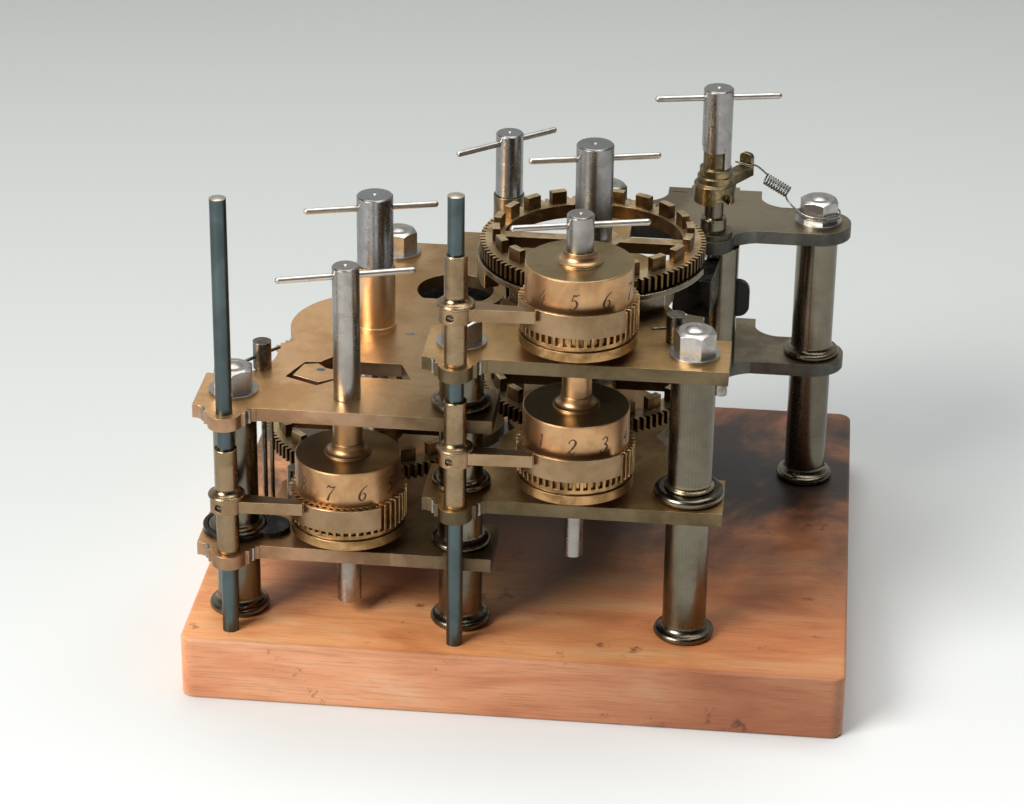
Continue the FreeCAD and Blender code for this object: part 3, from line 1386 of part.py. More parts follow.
save("spindle_2", spindle(AXIS_2_X, GEAR_Y, ARBOR_R, ARBOR_2_END,
                          SPINDLE_2_R, TUBE_2_TOP + RUNNING, SPINDLE_2_TOP, BAR_2))
save("bar_2", bar_of(AXIS_2_X, GEAR_Y, SPINDLE_2_TOP, BAR_2, -AXIS_2_SHIFT))
save("ring_gear_a", ring_gear(AXIS_2_X, A_LOWER, LEAN_A))
save("spindle_4", spindle(CELL_B_X, GEAR_Y, ARBOR_R, ARBOR_4_END,
                          SPINDLE_4_R, B_UPPER + RING_TOP, SPINDLE_4_TOP, BAR_4))
save("bar_4", bar_of(CELL_B_X, GEAR_Y, SPINDLE_4_TOP, BAR_4, 0))
save("ring_gears_b", ring_gear(CELL_B_X, B_LOWER, 0), ring_gear(CELL_B_X, B_UPPER, 0))
save("spindle_3", spindle(SPINDLE_3_X, SPINDLE_3_Y, ARBOR_3_R, ARBOR_3_END,
                          SPINDLE_3_R, TUBE_3_TOP + RUNNING, SPINDLE_3_TOP, BAR_3))
save("bar_3", bar_of(SPINDLE_3_X, SPINDLE_3_Y, SPINDLE_3_TOP, BAR_3, BAR_3_SLIDE))
save("carry_fingers", carry_fingers())
save("spindle_6", spindle_6())
save("bar_6", bar_of(LUG_AXIS_X, LUG_AXIS_Y, SPINDLE_6_TOP, BAR_6, 0))
save("lever", lever())
save("spring", spring())
save("lock_post_a", *lock_post(POST_A, A_UPPER, POST_A_PIN, A_LOWER + RUNNING))
save("lock_post_b", *lock_post(POST_B, B_UPPER, POST_B_PIN, B_UPPER - POST_B_SHANK))
save("carry_sector", carry_sector())
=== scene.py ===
import json
import math

import bpy
from mathutils import Euler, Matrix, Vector


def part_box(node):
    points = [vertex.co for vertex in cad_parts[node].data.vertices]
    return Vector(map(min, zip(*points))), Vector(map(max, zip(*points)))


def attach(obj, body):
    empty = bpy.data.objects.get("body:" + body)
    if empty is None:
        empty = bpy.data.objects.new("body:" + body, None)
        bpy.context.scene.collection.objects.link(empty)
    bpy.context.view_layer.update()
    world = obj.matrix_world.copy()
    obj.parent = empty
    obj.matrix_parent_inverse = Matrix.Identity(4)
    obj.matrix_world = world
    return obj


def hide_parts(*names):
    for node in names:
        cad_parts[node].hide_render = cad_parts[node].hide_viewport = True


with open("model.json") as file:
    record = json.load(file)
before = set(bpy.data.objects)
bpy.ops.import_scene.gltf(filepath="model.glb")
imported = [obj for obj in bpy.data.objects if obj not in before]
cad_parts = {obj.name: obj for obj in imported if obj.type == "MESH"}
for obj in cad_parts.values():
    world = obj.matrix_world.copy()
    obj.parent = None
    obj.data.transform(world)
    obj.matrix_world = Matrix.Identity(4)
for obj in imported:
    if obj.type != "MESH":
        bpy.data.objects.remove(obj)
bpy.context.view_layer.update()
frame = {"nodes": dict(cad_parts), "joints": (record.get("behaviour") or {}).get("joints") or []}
nodes = frame["nodes"]


# Camera. The picture was taken from in front and above with a long lens, turned a little
# to the left and rolled by less than a degree.
SENSOR_WIDTH = 36.0
FOCAL_LENGTH = 109.095
SIGHT_LIMIT = 20.0
CAMERA_PLACE = (0.150644, -1.681903, 0.934403)
CAMERA_TURN = (64.184090, -0.677731, 6.031921)

camera_data = bpy.data.cameras.new("camera")
camera_data.sensor_width = SENSOR_WIDTH
camera_data.lens = FOCAL_LENGTH
camera_data.clip_end = SIGHT_LIMIT
camera = bpy.data.objects.new("camera", camera_data)
camera.location = CAMERA_PLACE
camera.rotation_euler = Euler([math.radians(angle) for angle in CAMERA_TURN])
bpy.context.scene.collection.objects.link(camera)
bpy.context.scene.camera = camera
bpy.context.scene.view_settings.view_transform = "Standard"


# Floor. A pale sheet of studio paper lies under the board and runs far behind it. Its colour is painted
# darker towards the back and the left as a painted fall-off of the light. It is no part of the object.
def colour(text):
    """Linear colour from a six-figure screen colour."""
    parts = [int(text[i:i + 2], 16) / 255 for i in (0, 2, 4)]
    return tuple(p / 12.92 if p <= 0.04045 else ((p + 0.055) / 1.055) ** 2.4 for p in parts) + (1.0,)


def put(tree, kind, inputs=None, **settings):
    """Adds a node, sets its options, and gives its inputs values or links."""
    made = tree.nodes.new(kind)
    for name, value in settings.items():
        setattr(made, name, value)
    for name, value in (inputs or {}).items():
        if isinstance(value, bpy.types.NodeSocket):
            tree.links.new(value, made.inputs[name])
        else:
            made.inputs[name].default_value = value
    return made


def sums(tree, operation, *values):
    """Result of a sum on numbers and sockets."""
    return put(tree, "ShaderNodeMath", dict(enumerate(values)), operation=operation).outputs[0]


def between(tree, value, low=0.0, high=1.0, first=0.0, last=1.0, **settings):
    """Goes from first to last while the value goes from low to high."""
    made = put(tree, "ShaderNodeMapRange", {"Value": value, "From Min": low, "From Max": high,
                                            "To Min": first, "To Max": last}, **settings)
    return made.outputs[0]


def ramp(tree, fac, stops):
    """Colour ramp through stops, each a place and a screen colour."""
    made = put(tree, "ShaderNodeValToRGB", {"Fac": fac})
    elements = made.color_ramp.elements
    while len(elements) < len(stops):
        elements.new(0.5)
    for element, (place, text) in zip(elements, stops):
        element.position = place
        element.color = colour(text)
    return made.outputs["Color"]


def parts_of(tree, vector):
    """The X, Y and Z sockets of a vector."""
    return put(tree, "ShaderNodeSeparateXYZ", {0: vector}).outputs


def object_place(tree):
    """Place on the piece in metres, in the frame's own axes."""
    return put(tree, "ShaderNodeTexCoord").outputs["Object"]


def new_material(name):
    """Empty material; returns it and its tree."""
    material = bpy.data.materials.new(name)
    material.use_nodes = True
    material.node_tree.nodes.clear()
    return material, material.node_tree


def surface(tree, inputs):
    """Closes a material with its shader."""
    shader = put(tree, "ShaderNodeBsdfPrincipled", inputs)
    put(tree, "ShaderNodeOutputMaterial", {"Surface": shader.outputs[0]})


FLOOR_HALF = 4.0
PAPER_LEAN = -0.45

floor_mesh = bpy.data.meshes.new("floor")
floor_mesh.from_pydata(
    [(-FLOOR_HALF, -FLOOR_HALF, 0), (FLOOR_HALF, -FLOOR_HALF, 0),
     (FLOOR_HALF, FLOOR_HALF, 0), (-FLOOR_HALF, FLOOR_HALF, 0)],
    [], [(0, 1, 2, 3)])
floor = bpy.data.objects.new("floor", floor_mesh)
bpy.context.scene.collection.objects.link(floor)
floor_paper, tree = new_material("studio_paper")
place = parts_of(tree, object_place(tree))
leaning = sums(tree, "MULTIPLY_ADD", place["X"], PAPER_LEAN, place["Y"])
# Painted fall-off of light: the paper darkens towards the back and the left.
paper_and_painted_falloff = ramp(tree, between(tree, leaning, low=-0.5, high=1.9), [
    (0.0, "e0e2e2"), (0.30, "c2c6c5"), (0.62, "b4b8b6"), (1.0, "9ea2a0")])
surface(tree, {"Base Color": paper_and_painted_falloff, "Roughness": 0.85})
floor_mesh.materials.append(floor_paper)


# Light. A very large soft lamp stands high in front on the left and another hangs overhead,
# so that shadows are faint. The room is pale at the back, and darker in front, on the right
# and overhead.
def softbox(name, place, target, width, height, watts, tint):
    """Rectangular soft lamp that points at a target."""
    data = bpy.data.lights.new(name, "AREA")
    data.shape = "RECTANGLE"
    data.size = width
    data.size_y = height
    data.energy = watts
    data.color = tint
    lamp = bpy.data.objects.new(name, data)
    lamp.location = place
    lamp.rotation_euler = (Vector(target) - Vector(place)).to_track_quat("-Z", "Y").to_euler()
    bpy.context.scene.collection.objects.link(lamp)


softbox("key_lamp", place=(-2.1, -2.2, 2.2), target=(0, 0, 0.12), width=1.8, height=1.6, watts=165.0,
        tint=(1.0, 0.98, 0.95))
softbox("top_lamp", place=(0.1, 0.3, 2.6), target=(0, 0, 0.1), width=2.6, height=2.2, watts=62.0,
        tint=(1.0, 0.99, 0.98))

world = bpy.data.worlds.new("room")
bpy.context.scene.world = world
world.use_nodes = True
tree = world.node_tree
tree.nodes.clear()
gaze = parts_of(tree, put(tree, "ShaderNodeTexCoord").outputs["Generated"])
walls = ramp(tree, between(tree, gaze["Y"], low=-0.4, high=0.6), [
    (0.0, "2c3032"), (0.45, "6f7474"), (1.0, "eef0ee")])
light_falloff_rightwards = between(tree, gaze["X"], low=-0.7, high=0.8, first=0.75, last=0.35)
upwards = between(tree, gaze["Z"], low=0.5, high=0.95, first=1.0, last=0.12)
power = sums(tree, "MULTIPLY", light_falloff_rightwards, upwards)
sky = put(tree, "ShaderNodeBackground", {"Color": walls, "Strength": power})
put(tree, "ShaderNodeOutputWorld", {"Surface": sky.outputs[0]})


# Shared effects. Edges are rounded and rubbed, and the paler colour along them is partly wear and partly
# a painted highlight. Patches of tarnish lie over the metal, and the lathe and the polishing cloth
# leave fine lines.
FLOAT = "NodeSocketFloat"
VECTOR = "NodeSocketVector"


def new_group(name, wanted, given):
    """Shader node group with named inputs and outputs; returns it with its two end nodes."""
    group = bpy.data.node_groups.new(name, "ShaderNodeTree")
    for label, kind, value in wanted:
        group.interface.new_socket(label, in_out="INPUT", socket_type=kind).default_value = value
    for label, kind in given:
        group.interface.new_socket(label, in_out="OUTPUT", socket_type=kind)
    return group, group.nodes.new("NodeGroupInput").outputs, group.nodes.new("NodeGroupOutput")


def give(group, end, **results):
    """Links results to a group's named outputs."""
    for label, socket in results.items():
        group.links.new(socket, end.inputs[label])


def effect(tree, group, **values):
    """Places a shared effect in a material; returns its outputs."""
    return put(tree, "ShaderNodeGroup", values, node_tree=group).outputs


rubbed_edge, start, end = new_group(
    "rubbed_edge", [("Radius", FLOAT, 0.0005), ("Gain", FLOAT, 6.0), ("Patchiness", FLOAT, 0.6)],
    [("Mask", FLOAT), ("Normal", VECTOR)])
rounding = put(rubbed_edge, "ShaderNodeBevel", {"Radius": start["Radius"]}, samples=4).outputs[0]
flat = put(rubbed_edge, "ShaderNodeNewGeometry").outputs["True Normal"]
likeness = put(rubbed_edge, "ShaderNodeVectorMath", {0: rounding, 1: flat}, operation="DOT_PRODUCT")
bend = sums(rubbed_edge, "SUBTRACT", 1.0, likeness.outputs["Value"])
rub = put(rubbed_edge, "ShaderNodeTexNoise",
          {"Vector": object_place(rubbed_edge), "Scale": 180.0, "Detail": 3.0})
uneven = between(rubbed_edge, rub.outputs["Fac"], low=0.35, high=0.65)
held = sums(rubbed_edge, "SUBTRACT", 1.0, start["Patchiness"])
least = sums(rubbed_edge, "MULTIPLY_ADD", uneven, start["Patchiness"], held)
strong = put(rubbed_edge, "ShaderNodeMath", {0: bend, 1: start["Gain"]}, operation="MULTIPLY", use_clamp=True)
give(rubbed_edge, end, Mask=sums(rubbed_edge, "MULTIPLY", strong.outputs[0], least), Normal=rounding)

# A patch begins where the noise passes a level, which falls as the share of patches grows.
PATCH_LEVEL = 0.68
PATCH_LEVEL_FALL = -0.36
PATCH_MARGIN = 0.13
SPECKS_PER_PATCH = 14.0

tarnish, start, end = new_group(
    "tarnish", [("Size", FLOAT, 0.03), ("Share", FLOAT, 0.5), ("Seed", FLOAT, 0.0)],
    [("Mask", FLOAT), ("Fine", FLOAT)])
often = sums(tarnish, "DIVIDE", 1.0, start["Size"])
clouds = put(tarnish, "ShaderNodeTexNoise",
             {"Vector": object_place(tarnish), "W": start["Seed"], "Scale": often, "Detail": 6.0,
              "Roughness": 0.62, "Distortion": 0.6}, noise_dimensions="4D")
level = sums(tarnish, "MULTIPLY_ADD", start["Share"], PATCH_LEVEL_FALL, PATCH_LEVEL)
patches = between(tarnish, clouds.outputs["Fac"], low=sums(tarnish, "SUBTRACT", level, PATCH_MARGIN),
                  high=sums(tarnish, "ADD", level, PATCH_MARGIN), interpolation_type="SMOOTHSTEP")
specks = put(tarnish, "ShaderNodeTexNoise",
             {"Vector": object_place(tarnish), "W": start["Seed"], "Detail": 2.0,
              "Scale": sums(tarnish, "MULTIPLY", often, SPECKS_PER_PATCH)}, noise_dimensions="4D")
give(tarnish, end, Mask=patches, Fine=specks.outputs["Fac"])

lathe_lines, start, end = new_group(
    "lathe_lines", [("Centre", VECTOR, (0, 0, 0)), ("Pitch", FLOAT, 0.0004)], [("Height", FLOAT)])
from_axis = put(lathe_lines, "ShaderNodeVectorMath", {0: object_place(lathe_lines), 1: start["Centre"]},
                operation="SUBTRACT")
apart = parts_of(lathe_lines, from_axis.outputs[0])
plan = put(lathe_lines, "ShaderNodeCombineXYZ", {"X": apart["X"], "Y": apart["Y"]})
radius = put(lathe_lines, "ShaderNodeVectorMath", {0: plan.outputs[0]}, operation="LENGTH")
along = sums(lathe_lines, "ADD", radius.outputs["Value"], apart["Z"])
turns = sums(lathe_lines, "DIVIDE", along, start["Pitch"])
rings = put(lathe_lines, "ShaderNodeTexNoise", {"W": turns, "Scale": 1.0, "Detail": 3.0, "Roughness": 0.7},
            noise_dimensions="1D")
give(lathe_lines, end, Height=rings.outputs["Fac"])

# The cloth passes three ways, and each pass is noise drawn out into long lines.
CLOTH_WAYS = (0.0, 1.1, 2.3)
LINE_DRAW = (1.0, 26.0, 9.0)
LINE_SPACING = 0.25

cloth_marks, start, end = new_group(
    "cloth_marks", [("Size", FLOAT, 0.004), ("Turn", FLOAT, 0.4)], [("Mask", FLOAT)])
passes = []
for way in CLOTH_WAYS:
    angles = put(cloth_marks, "ShaderNodeCombineXYZ", {"Z": sums(cloth_marks, "ADD", start["Turn"], way)})
    turned = put(cloth_marks, "ShaderNodeMapping", {"Vector": object_place(cloth_marks),
                                                    "Rotation": angles.outputs[0]})
    drawn = put(cloth_marks, "ShaderNodeVectorMath", {0: turned.outputs[0], 1: LINE_DRAW},
                operation="MULTIPLY")
    lines = put(cloth_marks, "ShaderNodeTexNoise",
                {"Vector": drawn.outputs[0], "Detail": 2.0,
                 "Scale": sums(cloth_marks, "DIVIDE", LINE_SPACING, start["Size"])})
    passes.append(between(cloth_marks, lines.outputs["Fac"], low=0.62, high=0.72))
first_two = sums(cloth_marks, "MAXIMUM", *passes[:2])
give(cloth_marks, end, Mask=sums(cloth_marks, "MAXIMUM", first_two, passes[2]))


def blend_colour(tree, fac, first, second, mode="MIX"):
    """Colour between two, or their product with the mode MULTIPLY."""
    made = put(tree, "ShaderNodeMix", {0: fac, 6: first, 7: second}, data_type="RGBA", blend_type=mode)
    return made.outputs[2]


SPECKLE = 0.07


def metal(name, clean, dull, worn, rough, patch, share, seed, radius=0.0004, gain=5.0, marks=0.1, top=None,
          side=None, painted_fade=None, axis=None, pitch=0.0005, relief=0.00002):
    """Old metal: clean colour with dull patches, worn edges, and lathe lines round an axis or cloth marks.

    The top and side tints are painted light and shade over faces that point up and sideways, and the worn
    tint is partly wear and partly a painted highlight. The painted fade is a tint of painted shade, with the
    two places along X between which it comes in.
    """
    material, tree = new_material(name)
    edge_wear_and_light = effect(tree, rubbed_edge, Radius=radius, Gain=gain)
    patchy = effect(tree, tarnish, Size=patch, Share=share, Seed=seed)
    scratched = effect(tree, cloth_marks, Turn=seed)["Mask"]
    tint = blend_colour(tree, patchy["Mask"], colour(clean), colour(dull))
    tint = blend_colour(tree, edge_wear_and_light["Mask"], tint, colour(worn))
    speckled = between(tree, patchy["Fine"], first=1.0 - SPECKLE, last=1.0 + SPECKLE)
    shade = put(tree, "ShaderNodeCombineColor", {channel: speckled for channel in range(3)})
    tint = blend_colour(tree, 1.0, tint, shade.outputs[0], "MULTIPLY")
    # Painted light and shade: faces that point sideways take the side tint and faces that point up the top
    # tint.
    if top or side:
        facing = parts_of(tree, put(tree, "ShaderNodeNewGeometry").outputs["Normal"])["Z"]
    if side:
        tint = blend_colour(tree, between(tree, facing, low=0.7, high=0.2), tint, colour(side), "MULTIPLY")
    if top:
        tint = blend_colour(tree, between(tree, facing, low=0.8, high=0.95), tint, colour(top), "MULTIPLY")
    # Painted shade: a tint comes in along X, standing in for a darker reflection.
    if painted_fade:
        fade_shade_tint, begins, full = painted_fade
        along = parts_of(tree, object_place(tree))["X"]
        painted_fading = between(tree, along, low=begins, high=full)
        tint = blend_colour(tree, painted_fading, tint, colour(fade_shade_tint), "MULTIPLY")
    gloss = between(tree, patchy["Mask"], first=rough[0], last=rough[1])
    gloss = sums(tree, "MULTIPLY_ADD", scratched, marks, gloss)
    height = scratched
    if axis:
        height = effect(tree, lathe_lines, Centre=(*axis, 0), Pitch=pitch)["Height"]
    bump = put(tree, "ShaderNodeBump",
               {"Height": height, "Normal": edge_wear_and_light["Normal"], "Strength": 0.5, "Distance": relief})
    surface(tree, {"Base Color": tint, "Metallic": 1.0, "Roughness": gloss, "Normal": bump.outputs[0]})
    return material


def dress(material, *names):
    """Gives CAD nodes their finish."""
    for name in names:
        slots = nodes[name].data.materials
        if slots:
            for index in range(len(slots)):
                slots[index] = material
        else:
            slots.append(material)


# Wooden board. A thick slab of old mahogany, planed and varnished, with worn pale arrises and dents. Dark
# patches on the top towards the back are partly oil stains and partly painted shade under the machine,
# the wood is painted darker towards the right as a painted fall-off of light, and the front face is
# tinted darker and cooler.
board_low, board_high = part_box("base_board")
# Depths under the top and behind the front between which their own tints come in.
TOP_SKIN = (0.0044, 0.0014)
FRONT_SKIN = (0.0045, 0.0005)

board_wood, tree = new_material("board_wood")
board_place = object_place(tree)
spot = parts_of(tree, board_place)
edge_wear_and_light = effect(tree, rubbed_edge, Radius=0.0022, Gain=3.0, Patchiness=0.35)
stained = effect(tree, tarnish, Size=0.11, Share=0.72, Seed=3.7)
long_grain = put(tree, "ShaderNodeMapping", {"Vector": board_place, "Scale": (1.3, 5.0, 4.5),
                                             "Rotation": (0.1, 0.0, 0.035)})
figure = put(tree, "ShaderNodeTexNoise", {"Vector": long_grain.outputs[0], "Scale": 7.0, "Detail": 6.0,
                                          "Roughness": 0.55, "Distortion": 0.8}).outputs["Fac"]
fine_grain = put(tree, "ShaderNodeMapping", {"Vector": board_place, "Scale": (1.2, 34.0, 30.0),
                                             "Rotation": (0.0, 0.0, 0.03)})
pores = put(tree, "ShaderNodeTexNoise", {"Vector": fine_grain.outputs[0], "Scale": 34.0, "Detail": 3.0,
                                         "Roughness": 0.6}).outputs["Fac"]
dented = put(tree, "ShaderNodeTexNoise", {"Vector": board_place, "Scale": 55.0, "Detail": 5.0,
                                          "Roughness": 0.7}).outputs["Fac"]
tint = ramp(tree, figure, [(0.22, "c67646"), (0.40, "ee9c62"), (0.56, "feb478"), (0.74, "ffca92")])
pore_dark = between(tree, pores, low=0.34, high=0.5, first=0.32, last=0.0)
tint = blend_colour(tree, pore_dark, tint, colour("9a5a34"))
towards_back = between(tree, spot["Y"], low=-0.13, high=0.02, first=0.15, last=1.0)
on_top = between(tree, spot["Z"], low=board_high.z - TOP_SKIN[0], high=board_high.z - TOP_SKIN[1])
# Partly oil stains and partly painted shade under the machine: dark patches on the top towards the back.
stain_and_shade = sums(tree, "MULTIPLY", stained["Mask"], towards_back)
stain_and_shade = sums(tree, "MULTIPLY", stain_and_shade, on_top)
tint = blend_colour(tree, stain_and_shade, tint, colour("3a2518"))
dents = between(tree, dented, low=0.30, high=0.38, first=0.75, last=0.0)
tint = blend_colour(tree, dents, tint, colour("6a3a20"))
tint = blend_colour(tree, edge_wear_and_light["Mask"], tint, colour("eab486"))
# Painted fall-off of light: the wood is tinted darker towards the right.
light_falloff_rightwards = between(tree, spot["X"], low=-0.08, high=0.12)
tint = blend_colour(tree, light_falloff_rightwards, tint, colour("bfb2a8"), "MULTIPLY")
# The front face is tinted darker and cooler.
front_face_tint = between(tree, spot["Y"], low=board_low.y + FRONT_SKIN[0], high=board_low.y + FRONT_SKIN[1])
tint = blend_colour(tree, front_face_tint, tint, colour("dcdcf0"), "MULTIPLY")
bump = put(tree, "ShaderNodeBump", {"Height": pores, "Normal": edge_wear_and_light["Normal"], "Strength": 0.35,
                                    "Distance": 0.00015})
surface(tree, {"Base Color": tint, "Roughness": between(tree, figure, first=0.34, last=0.56),
               "Normal": bump.outputs[0], "Coat Weight": 0.15, "Coat Roughness": 0.3})
dress(board_wood, "base_board")


# Columns. Turned gunmetal pillars in lengths, with flared rims where they meet the plates. They have
# gone dark and brown, and so have the posts and the rail by them. The bright gold along their rims is
# partly wear and partly a painted highlight.
column_metal = metal("column_metal", clean="756f61", dull="625d51", worn="f6d6a4", rough=(0.20, 0.27),
                     patch=0.05, share=0.5, seed=1.3, radius=0.0010, gain=14.0, marks=0.04, relief=0.000005)
dress(column_metal, "column_feet", "column_lengths", "seat_disc", "guide_posts", "ring_rail",
      "lug_post_and_collar")


# Plates. Sawn and filed from heavy brass sheet, warm and golden, with brown finger marks and rubbed edges.
# The left plates are painted greyer towards the right and the rear plates are a darker copy, both as
# painted darker reflection, and the upright edges of all are painted darker as painted shade.
# Places along X between which the painted shade on the left plates comes in.
PAINTED_FADE_FROM = -0.125
PAINTED_FADE_FULL = -0.04


def plate_brass(where, seed, clean, dull, worn, side, fade_shade_tint):
    return metal("plate_brass_" + where, clean, dull, worn, rough=(0.34, 0.48), patch=0.045, share=0.48,
                 seed=seed, radius=0.0005, gain=4.0, side=side, painted_fade=(fade_shade_tint, PAINTED_FADE_FROM, PAINTED_FADE_FULL))


dress(plate_brass("left", 0.2, clean="eec08d", dull="bd9465", worn="f8d8ac", side="c8c6d8", fade_shade_tint="a3aeaf"),
      "plate_a_lower", "plate_a_upper", "latch_block", "plate_d_lower", "plate_d_upper")
dress(plate_brass("right", 5.1, clean="e2ba82", dull="ad8c5c", worn="f0d09e", side="8992a1", fade_shade_tint="f0f0f0"),
      "plate_b_lower", "plate_b_upper")
dress(plate_brass("rear", 9.4, clean="9d8f75", dull="766a55", worn="c9b691", side="b2c4de", fade_shade_tint="f0f0f0"),
      "plate_c_lower", "plate_c_upper")


# Studs, washers and nuts. Bright steel, faceted by the file and chipped on the corners. The
# small pins and the flush screws are of a darker steel.
bright_steel = metal("bright_steel", clean="b6b3ae", dull="9f9b95", worn="dedad2", rough=(0.30, 0.38),
                     patch=0.006, share=0.45, seed=2.2, gain=6.0, marks=0.08, relief=0.000006)
dress(bright_steel, "column_studs", "nuts", "washers")
pin_steel = metal("pin_steel", clean="9a968e", dull="6f6a62", worn="c8c2b6", rough=(0.28, 0.4),
                  patch=0.006, share=0.45, seed=2.9)
dress(pin_steel, "small_pins", "frame_screws")


# Bearing tubes. Turned brass tubes stand on the plates round the second and third spindles,
# the first of them polished to a bright orange.
def axis_of(body):
    """Where the axis of a turning body stands, as X and Y."""
    return next(tuple(joint["pos_m"][:2]) for joint in frame["joints"] if joint["child"] == body)


bright_tube = metal("bright_tube", clean="e6c29c", dull="cba87e", worn="f4dcb2", rough=(0.30, 0.40),
                    patch=0.03, share=0.35, seed=4.4, radius=0.0005, gain=4.0, axis=axis_of("axis_2"),
                    pitch=0.0006)
dress(bright_tube, "bearing_tube_2")
dull_tube = metal("dull_tube", clean="8f8370", dull="645b4c", worn="c0ab88", rough=(0.28, 0.42),
                  patch=0.015, share=0.5, seed=6.4, axis=axis_of("axis_3"), pitch=0.0006)
dress(dull_tube, "bearing_tube_3")


# Black pieces. The stop plate round the left front column, two guard discs behind the
# windows, and the flag and segment by the rear post, of steel gone black with old oil.
stop_black, tree = new_material("stop_black")
oily = effect(tree, tarnish, Size=0.012)
edge_wear_and_light = effect(tree, rubbed_edge)
tint = blend_colour(tree, oily["Mask"], colour("17191b"), colour("2e2a26"))
tint = blend_colour(tree, edge_wear_and_light["Mask"], tint, colour("6a6358"))
bump = put(tree, "ShaderNodeBump", {"Height": oily["Fine"], "Normal": edge_wear_and_light["Normal"], "Strength": 0.3,
                                    "Distance": 0.0001})
surface(tree, {"Base Color": tint, "Metallic": 0.6, "Normal": bump.outputs[0],
               "Roughness": between(tree, oily["Mask"], first=0.18, last=0.45)})
dress(stop_black, "black_plates", "column_flag")


# Index rods. Two long steel rods stand in front of the wheels, drawn and polished. Their upright faces
# take a darker blue-grey tint and their upward ends keep the bright steel colour.
rod_steel = metal("rod_steel", clean="c9c2b0", dull="b3ab99", worn="d8d2c0", rough=(0.28, 0.36),
                  patch=0.03, share=0.5, seed=7.7, gain=4.0, marks=0.05, side="6f8394", relief=0.00001)
dress(rod_steel, "rod_left", "rod_middle")


# Index arms. Each has a tube and a hub clamped to its rod with a slotted screw, and an arm
# that ends in a curved band over the wheel's teeth. They are of dull brass, filed flat.
arm_brass = metal("arm_brass", clean="9c8164", dull="866e4f", worn="dcc296", rough=(0.30, 0.40),
                  patch=0.03, share=0.45, seed=8.2, radius=0.0006)
dress(arm_brass, "arm_left", "arms_middle")
# The tubes' pale gold rims are partly wear and partly a painted highlight.
tube_brass = metal("arm_tube_brass", clean="917b5f", dull="7a674d", worn="f4dcb2", rough=(0.24, 0.32),
                   patch=0.02, share=0.45, seed=3.3, radius=0.0012, gain=13.0, relief=0.000006)
dress(tube_brass, "tube_left", "tubes_middle")
screw_dark = metal("screw_dark", clean="5a5148", dull="38332d", worn="97866a", rough=(0.3, 0.45),
                   patch=0.004, share=0.5, seed=4.9)
dress(screw_dark, "clamp_left", "clamps_middle")


# Figure drums. Turned brass drums sit on the toothed wheels, lacquered pale gold, with fine
# lathe lines, and the numbers 0 to 9 are engraved round each in a written hand.
# Painted reflection: the drums' tops take a greyer top tint for the dark underside of the plates above.
def drum_brass(side, body, seed):
    return metal("drum_brass_" + side, clean="c89e73", dull="a9825b", worn="f0d2a0", rough=(0.34, 0.44),
                 patch=0.03, share=0.42, seed=seed, radius=0.0006, gain=4.0, marks=0.05, top="b8cdcc",
                 axis=axis_of(body))


dress(drum_brass("left", "axis_a", 2.6), "drum_a")
dress(drum_brass("right", "axis_u", 6.9), "drum_u", "drum_l")

# Strokes of each number as (across, up, width) in parts of its height.
NUMBER_STROKES = {
    0: [[(.26, 1, .04), (.10, .84, .07), (.04, .5, .10), (.10, .16, .07), (.26, 0, .04), (.42, .16, .07),
         (.48, .5, .10), (.42, .84, .07), (.26, 1, .04)]],
    1: [[(.12, .80, .03), (.22, .88, .05), (.30, 1, .07), (.29, .5, .09), (.28, .03, .08)],
        [(.14, 0, .03), (.28, .01, .06), (.42, 0, .03)]],
    2: [[(.05, .72, .07), (.08, .90, .05), (.26, 1, .05), (.44, .86, .09), (.41, .60, .10), (.22, .28, .06),
         (.03, .04, .04)], [(.03, .04, .04), (.18, .12, .07), (.35, 0, .09), (.52, .16, .03)]],
    3: [[(.06, .84, .06), (.24, 1, .05), (.43, .84, .08), (.36, .62, .06), (.20, .54, .04)],
        [(.20, .54, .04), (.42, .46, .08), (.46, .22, .10), (.28, 0, .05), (.08, .05, .05), (.04, .18, .08)]],
    4: [[(.34, 1, .04), (.18, .64, .06), (.02, .34, .07), (.28, .33, .06), (.54, .37, .04)],
        [(.38, .64, .07), (.34, .30, .09), (.30, -.04, .07)]],
    5: [[(.17, .97, .05), (.12, .56, .05)],
        [(.12, .56, .04), (.30, .62, .06), (.46, .42, .10), (.42, .16, .09), (.24, 0, .05), (.04, .07, .06)],
        [(.16, .95, .08), (.34, .92, .07), (.52, 1.04, .03)]],
    6: [[(.48, .98, .05), (.26, .82, .06), (.08, .5, .09), (.07, .2, .10), (.24, 0, .05), (.43, .14, .08),
         (.43, .38, .08), (.27, .50, .04), (.10, .34, .03)]],
    7: [[(.02, .82, .04), (.10, .98, .08), (.24, .92, .07), (.38, .91, .07), (.54, 1, .04)],
        [(.54, 1, .04), (.38, .66, .05), (.24, .34, .08), (.18, -.04, .12)]],
    8: [[(.28, .54, .05), (.10, .70, .08), (.12, .92, .06), (.28, 1, .05), (.44, .88, .07), (.38, .66, .06),
         (.18, .44, .06), (.06, .24, .09), (.12, .04, .06), (.28, 0, .05), (.45, .12, .08), (.44, .34, .08),
         (.28, .54, .05)]],
    9: [[(.44, .60, .04), (.26, .46, .04), (.08, .60, .09), (.10, .88, .07), (.28, 1, .05), (.45, .84, .08),
         (.45, .50, .09), (.32, .16, .07), (.08, -.02, .04)]],
}
NUMBERS_ROUND = 10
NUMBER_HEIGHT = 0.0092
NUMBER_RISE = 0.009
NUMBER_LEAN = 0.16
NUMBER_MIDDLE = (0.34, 0.5)
STROKE_SPREAD = 0.7
CUT_DEPTH = 0.0003
CUT_PROUD = 0.00003
CUT_STEP = 0.000004
STEPS = 5
drum_low, drum_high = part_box("drum_a")
drum_radius = (drum_high.x - drum_low.x) / 2


